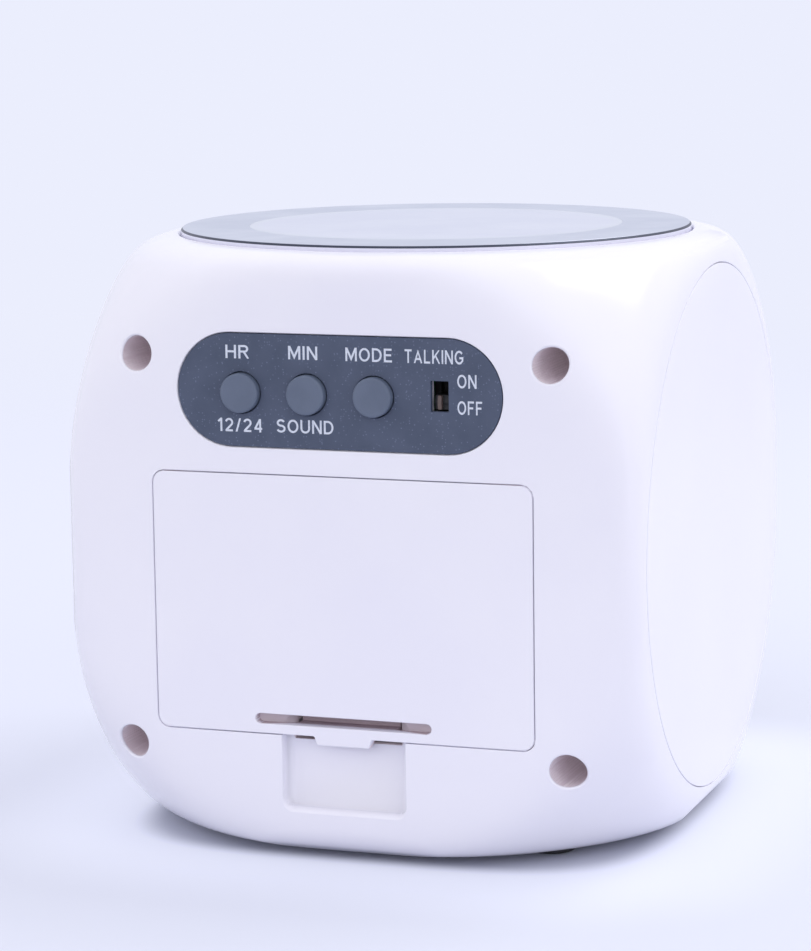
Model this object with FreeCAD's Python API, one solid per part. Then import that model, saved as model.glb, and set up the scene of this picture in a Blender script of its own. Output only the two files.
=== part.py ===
import FreeCAD, Part
import math
import os
from FreeCAD import Vector

# A talking table clock: a rounded cube of two shells, seen from its rear.
# The origin is on the table under the middle of the clock. +Z is up, -Y is the display side,
# +Y is the rear, with the controls, the battery door and the case screws.

# Housing
body_width = 94.0
body_depth = 93.4
body_height = 93.6
ball_radius = 66.3
edge_fillet = 7.0
wall = 2.2
parting_y = 3.0
cut_overrun = 4.0
seat_gap = 0.15

# Rubber feet, each in a shallow pocket of the underside
foot_radius = 4.0
foot_height = 0.8
foot_pocket_depth = 0.8
foot_offset = 27.0
foot_edge = 0.4

# Case screws: wells in the rear shell, posts in the front shell
well_upper_inset = 13.9
well_lower_inset = 11.7
well_upper_drop = 16.1
well_lower_rise = 16.4
well_bore_radius = 2.65
well_tube_radius = 4.3
well_floor_y = 8.0
well_floor = 2.2
post_radius = 3.3
screw_radius = 1.3
screw_length = 10.0
screw_head_radius = 2.4
screw_head_height = 1.7
screw_slot_width = 0.7
screw_slot_depth = 0.8
screw_clearance = 0.2
thread_clearance = 0.05

# Round side covers, flush in a rebate on a ledge
cover_radius = 41.7
cover_thickness = 1.8
ledge_width = 3.0
ledge_depth = 2.0
ledge_collar = 1.6
cover_hook_width = 8.0
cover_hook_thickness = 1.4
cover_hook_lip = 0.8
cover_hook_gap = 0.3
cover_hook_count = 4

# Talk plate on the roof, with its inlay, hooks, springs and press switch
plate_radius = 41.2
plate_proud = 0.6
plate_skin = 1.8
plate_skirt_depth = 3.2
plate_skirt = 1.6
plate_gap = 0.35
plate_edge = 0.3
talk_travel = 0.8
inlay_radius = 30.0
inlay_depth = 0.8
deck_thickness = 2.0
deck_gap = 0.2
travel_room = 0.3
hook_radius = 34.0
hook_width = 6.0
hook_thickness = 1.8
hook_lip = 1.1
hook_lip_height = 1.2
hook_play = 0.2
hook_count = 3
spring_circle = 28.0
spring_radius = 2.8
spring_wire = 0.5
spring_cup_depth = 3.0
cup_wall = 1.0
cup_gap = 0.4
spigot_radius = 1.9
spigot_length = 1.4

# Press switches, alike on every board
press_size = 6.0
press_height = 3.5
press_bore_depth = 1.6
press_plunger_radius = 1.7
press_plunger_sunk = 0.6
press_plunger_stroke = 1.6
running_gap = 0.1
board_thickness = 1.2

# Small board under the talk plate
talk_board_length = 24.0
talk_board_width = 12.0
talk_board_screw_x = 9.0
talk_boss_length = 1.7
small_boss_radius = 2.2
small_screw_radius = 0.9
small_screw_length = 4.0
small_head_radius = 1.7
small_head_height = 1.0
switch_room = 0.5

# Display side
lens_radius = 40.8
lens_proud = 1.0
lens_bevel = 0.8
lens_seat_depth = 2.2
lens_ledge = 3.0
lens_ledge_depth = 2.2
lens_collar = 2.2
mask_thickness = 0.8
mask_gap = 0.2
window_width = 52.0
window_height = 31.0
window_corner = 2.0
lcd_width = 57.0
lcd_height = 38.0
lcd_thickness = 2.6
guide_thickness = 2.4
guide_margin = 3.4
holder_wall = 1.8
holder_depth = 7.6
strip_thickness = 2.0
strip_width = 50.0
main_board_width = 78.0
main_board_height = 47.0
main_board_thickness = 1.6
main_post_side_inset = 3.0
main_post_end_inset = 3.5
main_post_radius = 2.5
chip_radius = 6.5
chip_height = 1.6
chip_x = 14.0

# Rear controls
panel_width = 51.9
panel_height = 17.3
panel_drop = 21.1
panel_depth = 1.0
panel_thickness = 0.9
cap_radius = 3.05
cap_proud = 1.0
cap_edge = 0.35
cap_pitch = 10.7
cap_first_x = 15.6
cap_names = ("hour", "minute", "mode")
cap_drop = 0.4
cap_gap = 0.15
cap_flange = 1.0
cap_flange_thickness = 0.9
cap_flange_play = 0.15
cap_nose_radius = 2.0
cap_nose_length = 0.8
key_travel = 0.4
key_board_gap = 3.3
key_board_height = 17.0
key_post_inset = 2.5
key_post_radius = 2.2

# Slide switch for the voice
slide_window_width = 2.8
slide_window_height = 4.6
slide_travel = 2.0
slide_pitch = 10.4
slider_width = 2.3
slider_height = 2.2
slider_sunk = 0.6
slide_body_width = 4.4
slide_body_height = 9.0
slide_body_depth = 3.8
slide_well_depth = 1.4
slider_foot_depth = 1.2

# Battery door, bay and cells
door_width = 61.0
door_height = 40.2
door_thickness = 1.8
door_corner = 1.8
door_panel_gap = 4.25
door_ledge_depth = 1.8
door_rib_height = 1.0
door_rib_width = 1.2
door_tab_x = 20.0
door_tab_width = 8.0
door_tab_thickness = 1.3
door_tab_rise = 1.5
door_tab_root = 1.9
door_tab_play = 0.2
door_swing_room = 0.6
latch_slot_width = 28.6
latch_slot_height = 1.6
latch_strip = 1.5
latch_tab_width = 9.4
latch_tab_drop = 1.35
latch_tab_taper = 0.5
latch_bend_depth = 3.0
latch_bend_width = 16.0
latch_bend_wall = 0.8
latch_leg_depth = 2.2
latch_leg_width = 7.0
latch_leg_drop = 0.7
latch_room = 0.4
notch_width = 17.4
notch_depth = 6.0
recess_width = 20.0
recess_height = 11.3
recess_depth = 2.6
recess_corner = 1.6
cell_radius = 5.25
cell_length = 44.5
cell_nub_radius = 2.6
cell_nub_length = 1.0
cell_edge = 0.5
cell_pitch = 11.0
cell_count = 3
cell_door_gap = 0.5
cell_floor_gap = 0.3
contact_thickness = 0.4
contact_width = 8.4
contact_spring_length = 6.7
contact_spring_radius = 3.4
contact_tip_radius = 2.0
bay_wall = 1.6
bay_margin = 0.5

# Speaker on the floor behind the display
speaker_y = -20.0
speaker_radius = 14.5
speaker_flange = 2.0
speaker_flange_thickness = 0.8
speaker_back_radius = 8.0
speaker_depth = 4.6
magnet_radius = 8.5
magnet_height = 3.2
cone_thickness = 0.4
cone_throat = 3.2
speaker_ring_gap = 0.3
speaker_ring_wall = 1.4
speaker_ring_height = 3.6
grille_radius = 11.0
grille_slot = 1.6
grille_pitch = 3.2
grille_rows = 7

# Planes and middles that the pieces share
side_x = body_width / 2
rear_y = body_depth / 2
front_y = -rear_y
floor_z = foot_height
roof_z = floor_z + body_height
middle_z = floor_z + body_height / 2
inner_floor_z = floor_z + wall
inner_rear_y = rear_y - wall
far = ball_radius * 2


def block(x_span, y_span, z_span):
    """A box between two values on each axis."""
    size = [span[1] - span[0] for span in (x_span, y_span, z_span)]
    corner = Vector(x_span[0], y_span[0], z_span[0])
    return Part.makeBox(size[0], size[1], size[2], corner)


def about(middle, size):
    """The span of a size centred on a middle."""
    return (middle - size / 2, middle + size / 2)


def rod_x(y, z, radius, x_span):
    return Part.makeCylinder(radius, x_span[1] - x_span[0], Vector(x_span[0], y, z), Vector(1, 0, 0))


def rod_y(x, z, radius, y_span):
    return Part.makeCylinder(radius, y_span[1] - y_span[0], Vector(x, y_span[0], z), Vector(0, 1, 0))


def rod_z(x, y, radius, z_span):
    return Part.makeCylinder(radius, z_span[1] - z_span[0], Vector(x, y, z_span[0]), Vector(0, 0, 1))


def rounded_plate(width, height, corner, x, z, y_span):
    """A plate that faces the rear, with its four corners rounded."""
    plate = block(about(x, width), y_span, about(z, height))
    corners = [edge for edge in plate.Edges if abs(edge.tangentAt(edge.FirstParameter).y) > 0.5]
    return plate.makeFillet(corner, corners)


def turned(points, middle, axis):
    """A closed outline in the XZ plane, turned about an axis through a point."""
    outline = Part.makePolygon([Vector(x, 0, z) for x, z in points + points[:1]])
    solid = Part.Face(outline).revolve(Vector(), Vector(0, 0, 1), 360)
    solid.rotate(Vector(), axis[0], axis[1])
    solid.translate(middle)
    return solid


def joined(shapes):
    """One solid from shapes that meet."""
    whole = shapes[0]
    for shape in shapes[1:]:
        whole = whole.fuse(shape)
    return whole.removeSplitter()


def ring_of(shape, count, x=0, y=0, start=0):
    """Copies of a shape, evenly turned about an upright axis."""
    copies = []
    for index in range(count):
        copy = shape.copy()
        copy.rotate(Vector(x, y, 0), Vector(0, 0, 1), start + 360.0 * index / count)
        copies.append(copy)
    return copies


def rounded_cube(inset):
    """The body's form, or its cavity at an inset: a filleted box whose corners lie on a ball."""
    cube = block(about(0, body_width - 2 * inset), about(0, body_depth - 2 * inset),
                 about(middle_z, body_height - 2 * inset))
    cube = cube.makeFillet(edge_fillet - inset, cube.Edges)
    return cube.common(Part.makeSphere(ball_radius - inset, Vector(0, 0, middle_z)))


body_form = rounded_cube(0)

# Heights of the talk plate and the deck under it, and the springs' place halfway between hooks
plate_top_z = roof_z + plate_proud
plate_under_z = plate_top_z - plate_skin
skirt_end_z = plate_top_z - plate_skirt_depth
deck_top_z = skirt_end_z - talk_travel - travel_room
deck_under_z = deck_top_z - deck_thickness
collar_radius = plate_radius + plate_gap
deck_ledge_radius = collar_radius - ledge_width
cup_floor_z = deck_under_z - spring_cup_depth
talk_board_z = deck_under_z - talk_boss_length
spring_turn = 180.0 / hook_count

# Depths of the display stack, from the window inwards
lens_seat_y = front_y + lens_seat_depth
lens_pocket_radius = lens_radius + seat_gap
lens_opening_radius = lens_pocket_radius - lens_ledge
lens_ring_y = lens_seat_y + lens_ledge_depth
mask_back_y = lens_seat_y + mask_thickness
lcd_back_y = mask_back_y + lcd_thickness
main_board_y = mask_back_y + holder_depth
main_board_back_y = main_board_y + main_board_thickness

# Places across the rear: the wells from the sides, the key board between the upper wells
well_upper_x = side_x - well_upper_inset
well_lower_x = side_x - well_lower_inset
key_board_width = 2 * (well_upper_x - well_tube_radius - key_board_gap)
key_post_x = key_board_width / 2 - key_post_inset

# Depths of the rear controls, from the panel inwards
panel_z = roof_z - panel_drop
cap_z = panel_z - cap_drop
panel_seat_y = rear_y - panel_depth
panel_face_y = panel_seat_y + panel_thickness
flange_face_y = inner_rear_y - cap_flange_play
flange_back_y = flange_face_y - cap_flange_thickness
nose_y = flange_back_y - cap_nose_length
press_face_y = nose_y - press_plunger_stroke + press_plunger_sunk
key_board_y = press_face_y - press_height
key_board_back_y = key_board_y - board_thickness
slide_x = cap_first_x - (len(cap_names) - 1) * cap_pitch - slide_pitch
slide_face_y = key_board_y + slide_body_depth
slider_rest_z = panel_z - slide_travel / 2
cap_places = {name: cap_first_x - index * cap_pitch for index, name in enumerate(cap_names)}

# Battery door and bay
door_top_z = panel_z - panel_height / 2 - door_panel_gap
door_foot_z = door_top_z - door_height
door_z = (door_top_z + door_foot_z) / 2
door_seat_y = rear_y - door_thickness
door_ledge_y = door_seat_y - door_ledge_depth
cell_y = door_seat_y - cell_door_gap - cell_radius
bay_floor_y = cell_y - cell_radius - cell_floor_gap
bay_length = cell_length + contact_spring_length + 2 * contact_thickness
bay_height = cell_count * cell_pitch + 2 * bay_margin
bay_end_x = bay_length / 2
tab_face_y = inner_rear_y - door_tab_play
tab_back_y = tab_face_y - door_tab_thickness
latch_foot_z = door_foot_z - latch_leg_drop
recess_floor_y = rear_y - recess_depth
recess_top_z = door_foot_z - seat_gap
recess_z = recess_top_z - recess_height / 2

well_places = [(side * well_upper_x, roof_z - well_upper_drop) for side in (-1, 1)]
well_places += [(side * well_lower_x, floor_z + well_lower_rise) for side in (-1, 1)]
foot_places = {"front_right": (-1, -1), "front_left": (1, -1), "rear_right": (-1, 1), "rear_left": (1, 1)}
main_post_x = main_board_width / 2 - main_post_side_inset
main_post_rise = main_board_height / 2 - main_post_end_inset
board_post_places = [(x * main_post_x, middle_z + z * main_post_rise) for x in (-1, 1) for z in (-1, 1)]


def housing():
    """Both shells in one: wall, collar of the talk plate, side ledges and foot pockets."""
    side_ledge_radius = cover_radius + ledge_collar
    cover_seat_x = side_x - cover_thickness
    ledge_x = cover_seat_x - ledge_depth
    parts = [body_form.cut(rounded_cube(wall))]
    collar_z = deck_under_z - ledge_depth
    collar = rod_z(0, 0, collar_radius + ledge_collar, (collar_z, roof_z))
    parts.append(collar.cut(rod_z(0, 0, deck_ledge_radius, (collar_z, roof_z))).common(body_form))
    for side in (-1, 1):
        span = sorted((side * ledge_x, side * side_x))
        ring = rod_x(0, middle_z, side_ledge_radius, span)
        parts.append(ring.cut(rod_x(0, middle_z, cover_radius - ledge_width, span)).common(body_form))
    shell = joined(parts)
    shell = shell.cut(rod_z(0, 0, collar_radius, (deck_under_z, roof_z + cut_overrun)))
    shell = shell.cut(rod_z(0, 0, deck_ledge_radius, (collar_z, roof_z)))
    for side in (-1, 1):
        pocket = sorted((side * cover_seat_x, side * (side_x + cut_overrun)))
        opening = sorted((side * ledge_x, side * (side_x + cut_overrun)))
        shell = shell.cut(rod_x(0, middle_z, cover_radius + seat_gap, pocket))
        shell = shell.cut(rod_x(0, middle_z, cover_radius - ledge_width, opening))
    for x, y in foot_places.values():
        pocket = (floor_z - cut_overrun, floor_z + foot_pocket_depth)
        shell = shell.cut(rod_z(x * foot_offset, y * foot_offset, foot_radius + seat_gap, pocket))
    return shell


def front_shell(shell):
    """The display half: window ring, screw posts, board posts, speaker ring and sound slots."""
    half = shell.common(block((-far, far), (-far, parting_y), (-far, far)))
    ring = rod_y(0, middle_z, lens_pocket_radius + lens_collar, (front_y, lens_ring_y))
    parts = [half, ring.common(body_form)]
    for x, z in well_places:
        post = rod_y(x, z, post_radius, (lens_seat_y, well_floor_y - well_floor))
        parts.append(post.common(body_form))
    for x, z in board_post_places:
        parts.append(rod_y(x, z, main_post_radius, (lens_seat_y, main_board_y)))
    ring_radius = speaker_radius + speaker_ring_gap
    ring_span = (floor_z + wall / 2, inner_floor_z + speaker_ring_height)
    ring = rod_z(0, speaker_y, ring_radius + speaker_ring_wall, ring_span)
    parts.append(ring.cut(rod_z(0, speaker_y, ring_radius, ring_span)))
    half = joined(parts)
    half = half.cut(rod_y(0, middle_z, lens_pocket_radius, (front_y - cut_overrun, lens_seat_y)))
    half = half.cut(rod_y(0, middle_z, lens_opening_radius, (front_y, lens_ring_y)))
    for x, z in well_places:
        depth = well_floor_y - screw_length - cut_overrun
        half = half.cut(rod_y(x, z, screw_radius + thread_clearance, (depth, well_floor_y)))
    for x, z in board_post_places:
        span = (main_board_y - small_screw_length, main_board_y + cut_overrun)
        half = half.cut(rod_y(x, z, small_screw_radius + thread_clearance, span))
    for slot in grille_slots():
        half = half.cut(slot)
    return half


def grille_slots():
    """Sound slots with round ends, whose lengths follow a circle."""
    slots = []
    for row in range(grille_rows):
        offset = (row - (grille_rows - 1) / 2) * grille_pitch
        half_length = math.sqrt(grille_radius ** 2 - offset ** 2) - grille_slot / 2
        span = (floor_z - cut_overrun, inner_floor_z + cut_overrun)
        y = speaker_y + offset
        ends = [rod_z(side * half_length, y, grille_slot / 2, span) for side in (-1, 1)]
        slots.append(joined([block((-half_length, half_length), about(y, grille_slot), span)] + ends))
    return slots


def rear_shell(shell):
    """The control half: screw wells, battery bay, latch notch, finger recess and panel seat."""
    half = shell.common(block((-far, far), (parting_y, far), (-far, far)))
    parts = [half]
    for x, z in well_places:
        tube = rod_y(x, z, well_tube_radius, (well_floor_y - well_floor, rear_y))
        parts.append(tube.common(body_form))
    frame_width = door_width + 2 * seat_gap + 2 * bay_wall
    frame_height = door_height + 2 * seat_gap + 2 * bay_wall
    frame = block(about(0, frame_width), (door_ledge_y, rear_y), about(door_z, frame_height))
    parts.append(frame.common(body_form))
    bay_outer = (bay_floor_y - bay_wall, door_seat_y)
    parts.append(block(about(0, bay_length + 2 * bay_wall), bay_outer, about(door_z, bay_height + 2 * bay_wall)))
    pan_span = (recess_z - recess_height / 2 - bay_wall, door_z)
    pan = block(about(0, recess_width + 2 * bay_wall), (recess_floor_y - bay_wall, inner_rear_y), pan_span)
    parts.append(pan.common(body_form))
    for side in (-1, 1):
        parts.append(rod_y(side * key_post_x, panel_z, key_post_radius, (key_board_y, inner_rear_y)))
    half = joined(parts)
    for cutter in rear_cutters():
        half = half.cut(cutter)
    return half


def rear_cutters():
    """What is open in the rear shell."""
    outwards = rear_y + cut_overrun
    cutters = []
    for x, z in well_places:
        cutters.append(rod_y(x, z, well_bore_radius, (well_floor_y, outwards)))
        cutters.append(rod_y(x, z, screw_radius + screw_clearance, (parting_y, well_floor_y)))
    cutters.append(block(about(0, bay_length), (bay_floor_y, outwards), about(door_z, bay_height)))
    seat = (door_seat_y, outwards)
    cutters.append(rounded_plate(door_width + 2 * seat_gap, door_height + 2 * seat_gap,
                                 door_corner + seat_gap, 0, door_z, seat))
    tab_room = (tab_back_y - door_swing_room, door_seat_y)
    tab_z_span = (door_top_z - door_tab_root - 2 * bay_wall, door_top_z + door_tab_rise + 2 * door_tab_play)
    for side in (-1, 1):
        width = door_tab_width + 2 * door_tab_play
        cutters.append(block(about(side * door_tab_x, width), tab_room, tab_z_span))
    notch_foot = latch_foot_z - latch_room
    bay_foot_z = door_z - bay_height / 2
    notch = (door_seat_y - notch_depth, outwards)
    cutters.append(block(about(0, notch_width), notch, (notch_foot, bay_foot_z + seat_gap)))
    recess = rounded_plate(recess_width, recess_height + 2 * recess_corner, recess_corner, 0,
                           recess_z + recess_corner, (recess_floor_y, outwards))
    cutters.append(recess)
    cutters.append(panel_outline(panel_width + 2 * seat_gap, panel_height + 2 * seat_gap,
                                 (panel_seat_y, outwards)))
    for x in cap_places.values():
        cutters.append(rod_y(x, cap_z, cap_radius + 2 * cap_gap, (inner_rear_y, outwards)))
    hole_width = slide_window_width + 2 * cap_gap
    hole_height = slide_window_height + 2 * cap_gap
    cutters.append(block(about(slide_x, hole_width), (inner_rear_y, outwards), about(panel_z, hole_height)))
    for side in (-1, 1):
        span = (key_board_y - cut_overrun, key_board_y + small_screw_length)
        cutters.append(rod_y(side * key_post_x, panel_z, small_screw_radius + thread_clearance, span))
    return cutters


def panel_outline(width, height, y_span):
    """The panel's shape: two half circles joined by straights."""
    ends = (width - height) / 2
    plate = block((-ends, ends), y_span, about(panel_z, height))
    return joined([plate] + [rod_y(side * ends, panel_z, height / 2, y_span) for side in (-1, 1)])


def side_cover(side):
    """A round cover flush with the side, held by hooks behind the ledge."""
    seat_x = side_x - cover_thickness
    cover = rod_x(0, middle_z, cover_radius, sorted((side * seat_x, side * side_x))).common(body_form)
    hook_reach = cover_radius - ledge_width - cover_hook_gap
    hook_end = seat_x - ledge_depth - cover_hook_gap - cover_hook_lip
    for index in range(cover_hook_count):
        leg_z = (hook_reach - cover_hook_thickness, hook_reach)
        leg = block(sorted((side * hook_end, side * seat_x)), about(0, cover_hook_width),
                    (middle_z + leg_z[0], middle_z + leg_z[1]))
        lip_x = sorted((side * hook_end, side * (hook_end + cover_hook_lip)))
        lip_z = (leg_z[1] + middle_z, leg_z[1] + cover_hook_lip + cover_hook_gap + middle_z)
        leg = leg.fuse(block(lip_x, about(0, cover_hook_width), lip_z))
        leg.rotate(Vector(0, 0, middle_z), Vector(1, 0, 0), (180.0 + 360.0 * index) / cover_hook_count)
        cover = cover.fuse(leg)
    return cover.removeSplitter()


def talk_plate():
    """The round press plate: skin, skirt, inlay seat, spring spigots, switch boss and hooks."""
    plate = rod_z(0, 0, plate_radius, (skirt_end_z, plate_top_z))
    plate = plate.makeChamfer(plate_edge, [edge for edge in plate.Edges if edge.BoundBox.ZMin > plate_under_z])
    plate = plate.cut(rod_z(0, 0, plate_radius - plate_skirt, (skirt_end_z, plate_under_z)))
    plate = plate.cut(rod_z(0, 0, inlay_radius + seat_gap, (plate_top_z - inlay_depth, plate_top_z)))
    boss_end_z = talk_board_z + press_height + press_plunger_stroke - press_plunger_sunk
    parts = [plate, rod_z(0, 0, cap_nose_radius, (boss_end_z, plate_under_z))]
    spigot = rod_z(spring_circle, 0, spigot_radius, (plate_under_z - spigot_length, plate_under_z))
    parts += ring_of(spigot, hook_count, start=spring_turn)
    hook_top = deck_under_z - hook_play
    hook_end = hook_top - hook_lip_height
    leg = block(about(hook_radius, hook_thickness), about(0, hook_width), (hook_end, plate_under_z))
    lip_x = (hook_radius, hook_radius + hook_thickness / 2 + hook_lip)
    lip = block(lip_x, about(0, hook_width), (hook_end, hook_top))
    parts += ring_of(leg.fuse(lip), hook_count)
    return joined(parts)


def top_deck():
    """The deck that carries the talk plate, its springs and its switch."""
    deck = rod_z(0, 0, collar_radius - deck_gap, (deck_under_z, deck_top_z))
    cup_radius = spring_radius + cup_gap
    cup = rod_z(spring_circle, 0, cup_radius + cup_wall, (cup_floor_z - cup_wall, deck_under_z))
    parts = [deck] + ring_of(cup, hook_count, start=spring_turn)
    boss_span = (talk_board_z, deck_under_z)
    parts += [rod_z(side * talk_board_screw_x, 0, small_boss_radius, boss_span) for side in (-1, 1)]
    deck = joined(parts)
    hollow = rod_z(spring_circle, 0, cup_radius, (cup_floor_z, deck_top_z))
    slot = block(about(hook_radius, hook_thickness + 2 * hook_play), about(0, hook_width + 2 * hook_play),
                 (deck_under_z, deck_top_z))
    room = press_size + 2 * switch_room
    cutters = ring_of(hollow, hook_count, start=spring_turn) + ring_of(slot, hook_count)
    cutters.append(block(about(0, room), about(0, room), (deck_under_z, deck_top_z)))
    for side in (-1, 1):
        span = (talk_board_z, talk_board_z + small_screw_length - board_thickness)
        cutters.append(rod_z(side * talk_board_screw_x, 0, small_screw_radius + thread_clearance, span))
    for cutter in cutters:
        deck = deck.cut(cutter)
    return deck


def talk_springs():
    """Return springs, as sleeves of the coil's size, standing in the deck's cups."""
    span = (cup_floor_z, plate_under_z)
    sleeve = rod_z(spring_circle, 0, spring_radius, span)
    sleeve = sleeve.cut(rod_z(spring_circle, 0, spring_radius - spring_wire, span))
    return Part.makeCompound(ring_of(sleeve, hook_count, start=spring_turn))


def press_switch():
    """A square press switch with the bore of its plunger, standing on a board at z = 0."""
    body = block(about(0, press_size), about(0, press_size), (0, press_height))
    bore = (press_height - press_bore_depth, press_height)
    return body.cut(rod_z(0, 0, press_plunger_radius + running_gap, bore))


def press_plunger():
    """The plunger of a press switch, in the same place."""
    start = press_height - press_plunger_sunk
    return rod_z(0, 0, press_plunger_radius, (start, start + press_plunger_stroke))


def on_key_board(shape, x):
    """Stand a piece on the key board so that it points to the rear."""
    shape.rotate(Vector(), Vector(1, 0, 0), -90)
    shape.translate(Vector(x, key_board_y, cap_z))
    return shape


def on_talk_board(shape):
    shape.translate(Vector(0, 0, talk_board_z))
    return shape


def board_screw(length):
    """A small screw under z = 0, whose head stands above it."""
    head = rod_z(0, 0, small_head_radius, (0, small_head_height))
    return head.fuse(rod_z(0, 0, small_screw_radius, (-length, 0))).removeSplitter()


def talk_board():
    hole = (talk_board_z - board_thickness, talk_board_z)
    board = block(about(0, talk_board_length), about(0, talk_board_width), hole)
    for side in (-1, 1):
        board = board.cut(rod_z(side * talk_board_screw_x, 0, small_screw_radius + screw_clearance, hole))
    return board


def talk_board_screws():
    screws = []
    for side in (-1, 1):
        screw = board_screw(small_screw_length - screw_clearance)
        screw.rotate(Vector(), Vector(1, 0, 0), 180)
        screw.translate(Vector(side * talk_board_screw_x, 0, talk_board_z - board_thickness))
        screws.append(screw)
    return Part.makeCompound(screws)


def front_lens():
    """The clear window, which stands proud with a bevelled rim."""
    face_y = front_y - lens_proud
    lens = rod_y(0, middle_z, lens_radius, (face_y, lens_seat_y))
    return lens.makeChamfer(lens_bevel, [edge for edge in lens.Edges if edge.BoundBox.YMax < front_y])


def dial_mask():
    mask = rod_y(0, middle_z, lens_opening_radius - mask_gap, (lens_seat_y, mask_back_y))
    return mask.cut(rounded_plate(window_width, window_height, window_corner, 0, middle_z,
                                  (lens_seat_y, mask_back_y)))


def lcd_glass():
    return block(about(0, lcd_width), (mask_back_y, lcd_back_y), about(middle_z, lcd_height))


def lcd_holder():
    """The frame that presses the glass to the mask, open behind for the light guide and strips."""
    width = lcd_width + 2 * holder_wall + 2 * mask_gap
    height = lcd_height + 2 * holder_wall + 2 * mask_gap
    holder = block(about(0, width), (mask_back_y, main_board_y), about(middle_z, height))
    glass = block(about(0, lcd_width + 2 * mask_gap), (mask_back_y, lcd_back_y),
                  about(middle_z, lcd_height + 2 * mask_gap))
    room = block(about(0, lcd_width - 2 * mask_gap), (mask_back_y, main_board_y),
                 about(middle_z, lcd_height - 2 * mask_gap))
    return holder.cut(glass).cut(room)


def backlight_guide():
    width, height = lcd_width - 2 * guide_margin, lcd_height - 2 * guide_margin
    return block(about(0, width), (lcd_back_y, lcd_back_y + guide_thickness), about(middle_z, height))


def contact_strips():
    """The two rubber strips that join the glass to the board."""
    strips = []
    for side in (-1, 1):
        z = middle_z + side * (lcd_height / 2 - 2 * mask_gap - strip_thickness / 2)
        strips.append(block(about(0, strip_width), (lcd_back_y, main_board_y), about(z, strip_thickness)))
    return Part.makeCompound(strips)


def main_board():
    board = block(about(0, main_board_width), (main_board_y, main_board_back_y), about(middle_z, main_board_height))
    for x, z in board_post_places:
        board = board.cut(rod_y(x, z, small_screw_radius + screw_clearance, (main_board_y, main_board_back_y)))
    return board


def chip_cover():
    """The black drop that seals the chip: a cap of a ball on the board's back."""
    ball = (chip_radius ** 2 + chip_height ** 2) / (2 * chip_height)
    drop = Part.makeSphere(ball, Vector(chip_x, main_board_back_y + chip_height - ball, middle_z))
    room = block(about(chip_x, 2 * ball), (main_board_back_y, main_board_back_y + 2 * ball), about(middle_z, 2 * ball))
    return drop.common(room)


def main_board_screws():
    screws = []
    for x, z in board_post_places:
        screw = board_screw(small_screw_length)
        screw.rotate(Vector(), Vector(1, 0, 0), -90)
        screw.translate(Vector(x, main_board_back_y, z))
        screws.append(screw)
    return Part.makeCompound(screws)


def control_panel():
    panel = panel_outline(panel_width, panel_height, (panel_seat_y, panel_face_y))
    for x in cap_places.values():
        panel = panel.cut(rod_y(x, cap_z, cap_radius + cap_gap, (panel_seat_y, panel_face_y)))
    window = block(about(slide_x, slide_window_width), (panel_seat_y, panel_face_y),
                   about(panel_z, slide_window_height))
    return panel.cut(window)


def button_cap(x):
    """A push cap with a bevelled rim, a flange behind the wall and a nose for the switch."""
    face_y = rear_y + cap_proud
    cap = rod_y(x, cap_z, cap_radius, (flange_back_y, face_y))
    cap = cap.makeChamfer(cap_edge, [edge for edge in cap.Edges if edge.BoundBox.YMin > rear_y])
    flange = rod_y(x, cap_z, cap_radius + cap_flange, (flange_back_y, flange_face_y))
    return joined([cap, flange, rod_y(x, cap_z, cap_nose_radius, (nose_y, flange_back_y))])


def key_board():
    board = block(about(0, key_board_width), (key_board_back_y, key_board_y), about(panel_z, key_board_height))
    for side in (-1, 1):
        hole = (key_board_back_y, key_board_y)
        board = board.cut(rod_y(side * key_post_x, panel_z, small_screw_radius + screw_clearance, hole))
    return board


def key_board_screws():
    screws = []
    for side in (-1, 1):
        screw = board_screw(small_screw_length)
        screw.rotate(Vector(), Vector(1, 0, 0), 90)
        screw.translate(Vector(side * key_post_x, key_board_back_y, panel_z))
        screws.append(screw)
    return Part.makeCompound(screws)


def talking_switch():
    """The slide switch's body, with the well that its slider runs in."""
    body = block(about(slide_x, slide_body_width), (key_board_y, slide_face_y), about(panel_z, slide_body_height))
    well_height = slider_height + slide_travel + 2 * running_gap
    well = block(about(slide_x, slider_width + 2 * running_gap), (slide_face_y - slide_well_depth, slide_face_y),
                 about(panel_z, well_height))
    return body.cut(well)


def talking_slider():
    """The slider at its lower, silent place."""
    span = (slide_face_y - slider_foot_depth, panel_face_y - slider_sunk)
    return block(about(slide_x, slider_width), span, about(slider_rest_z, slider_height))


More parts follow.
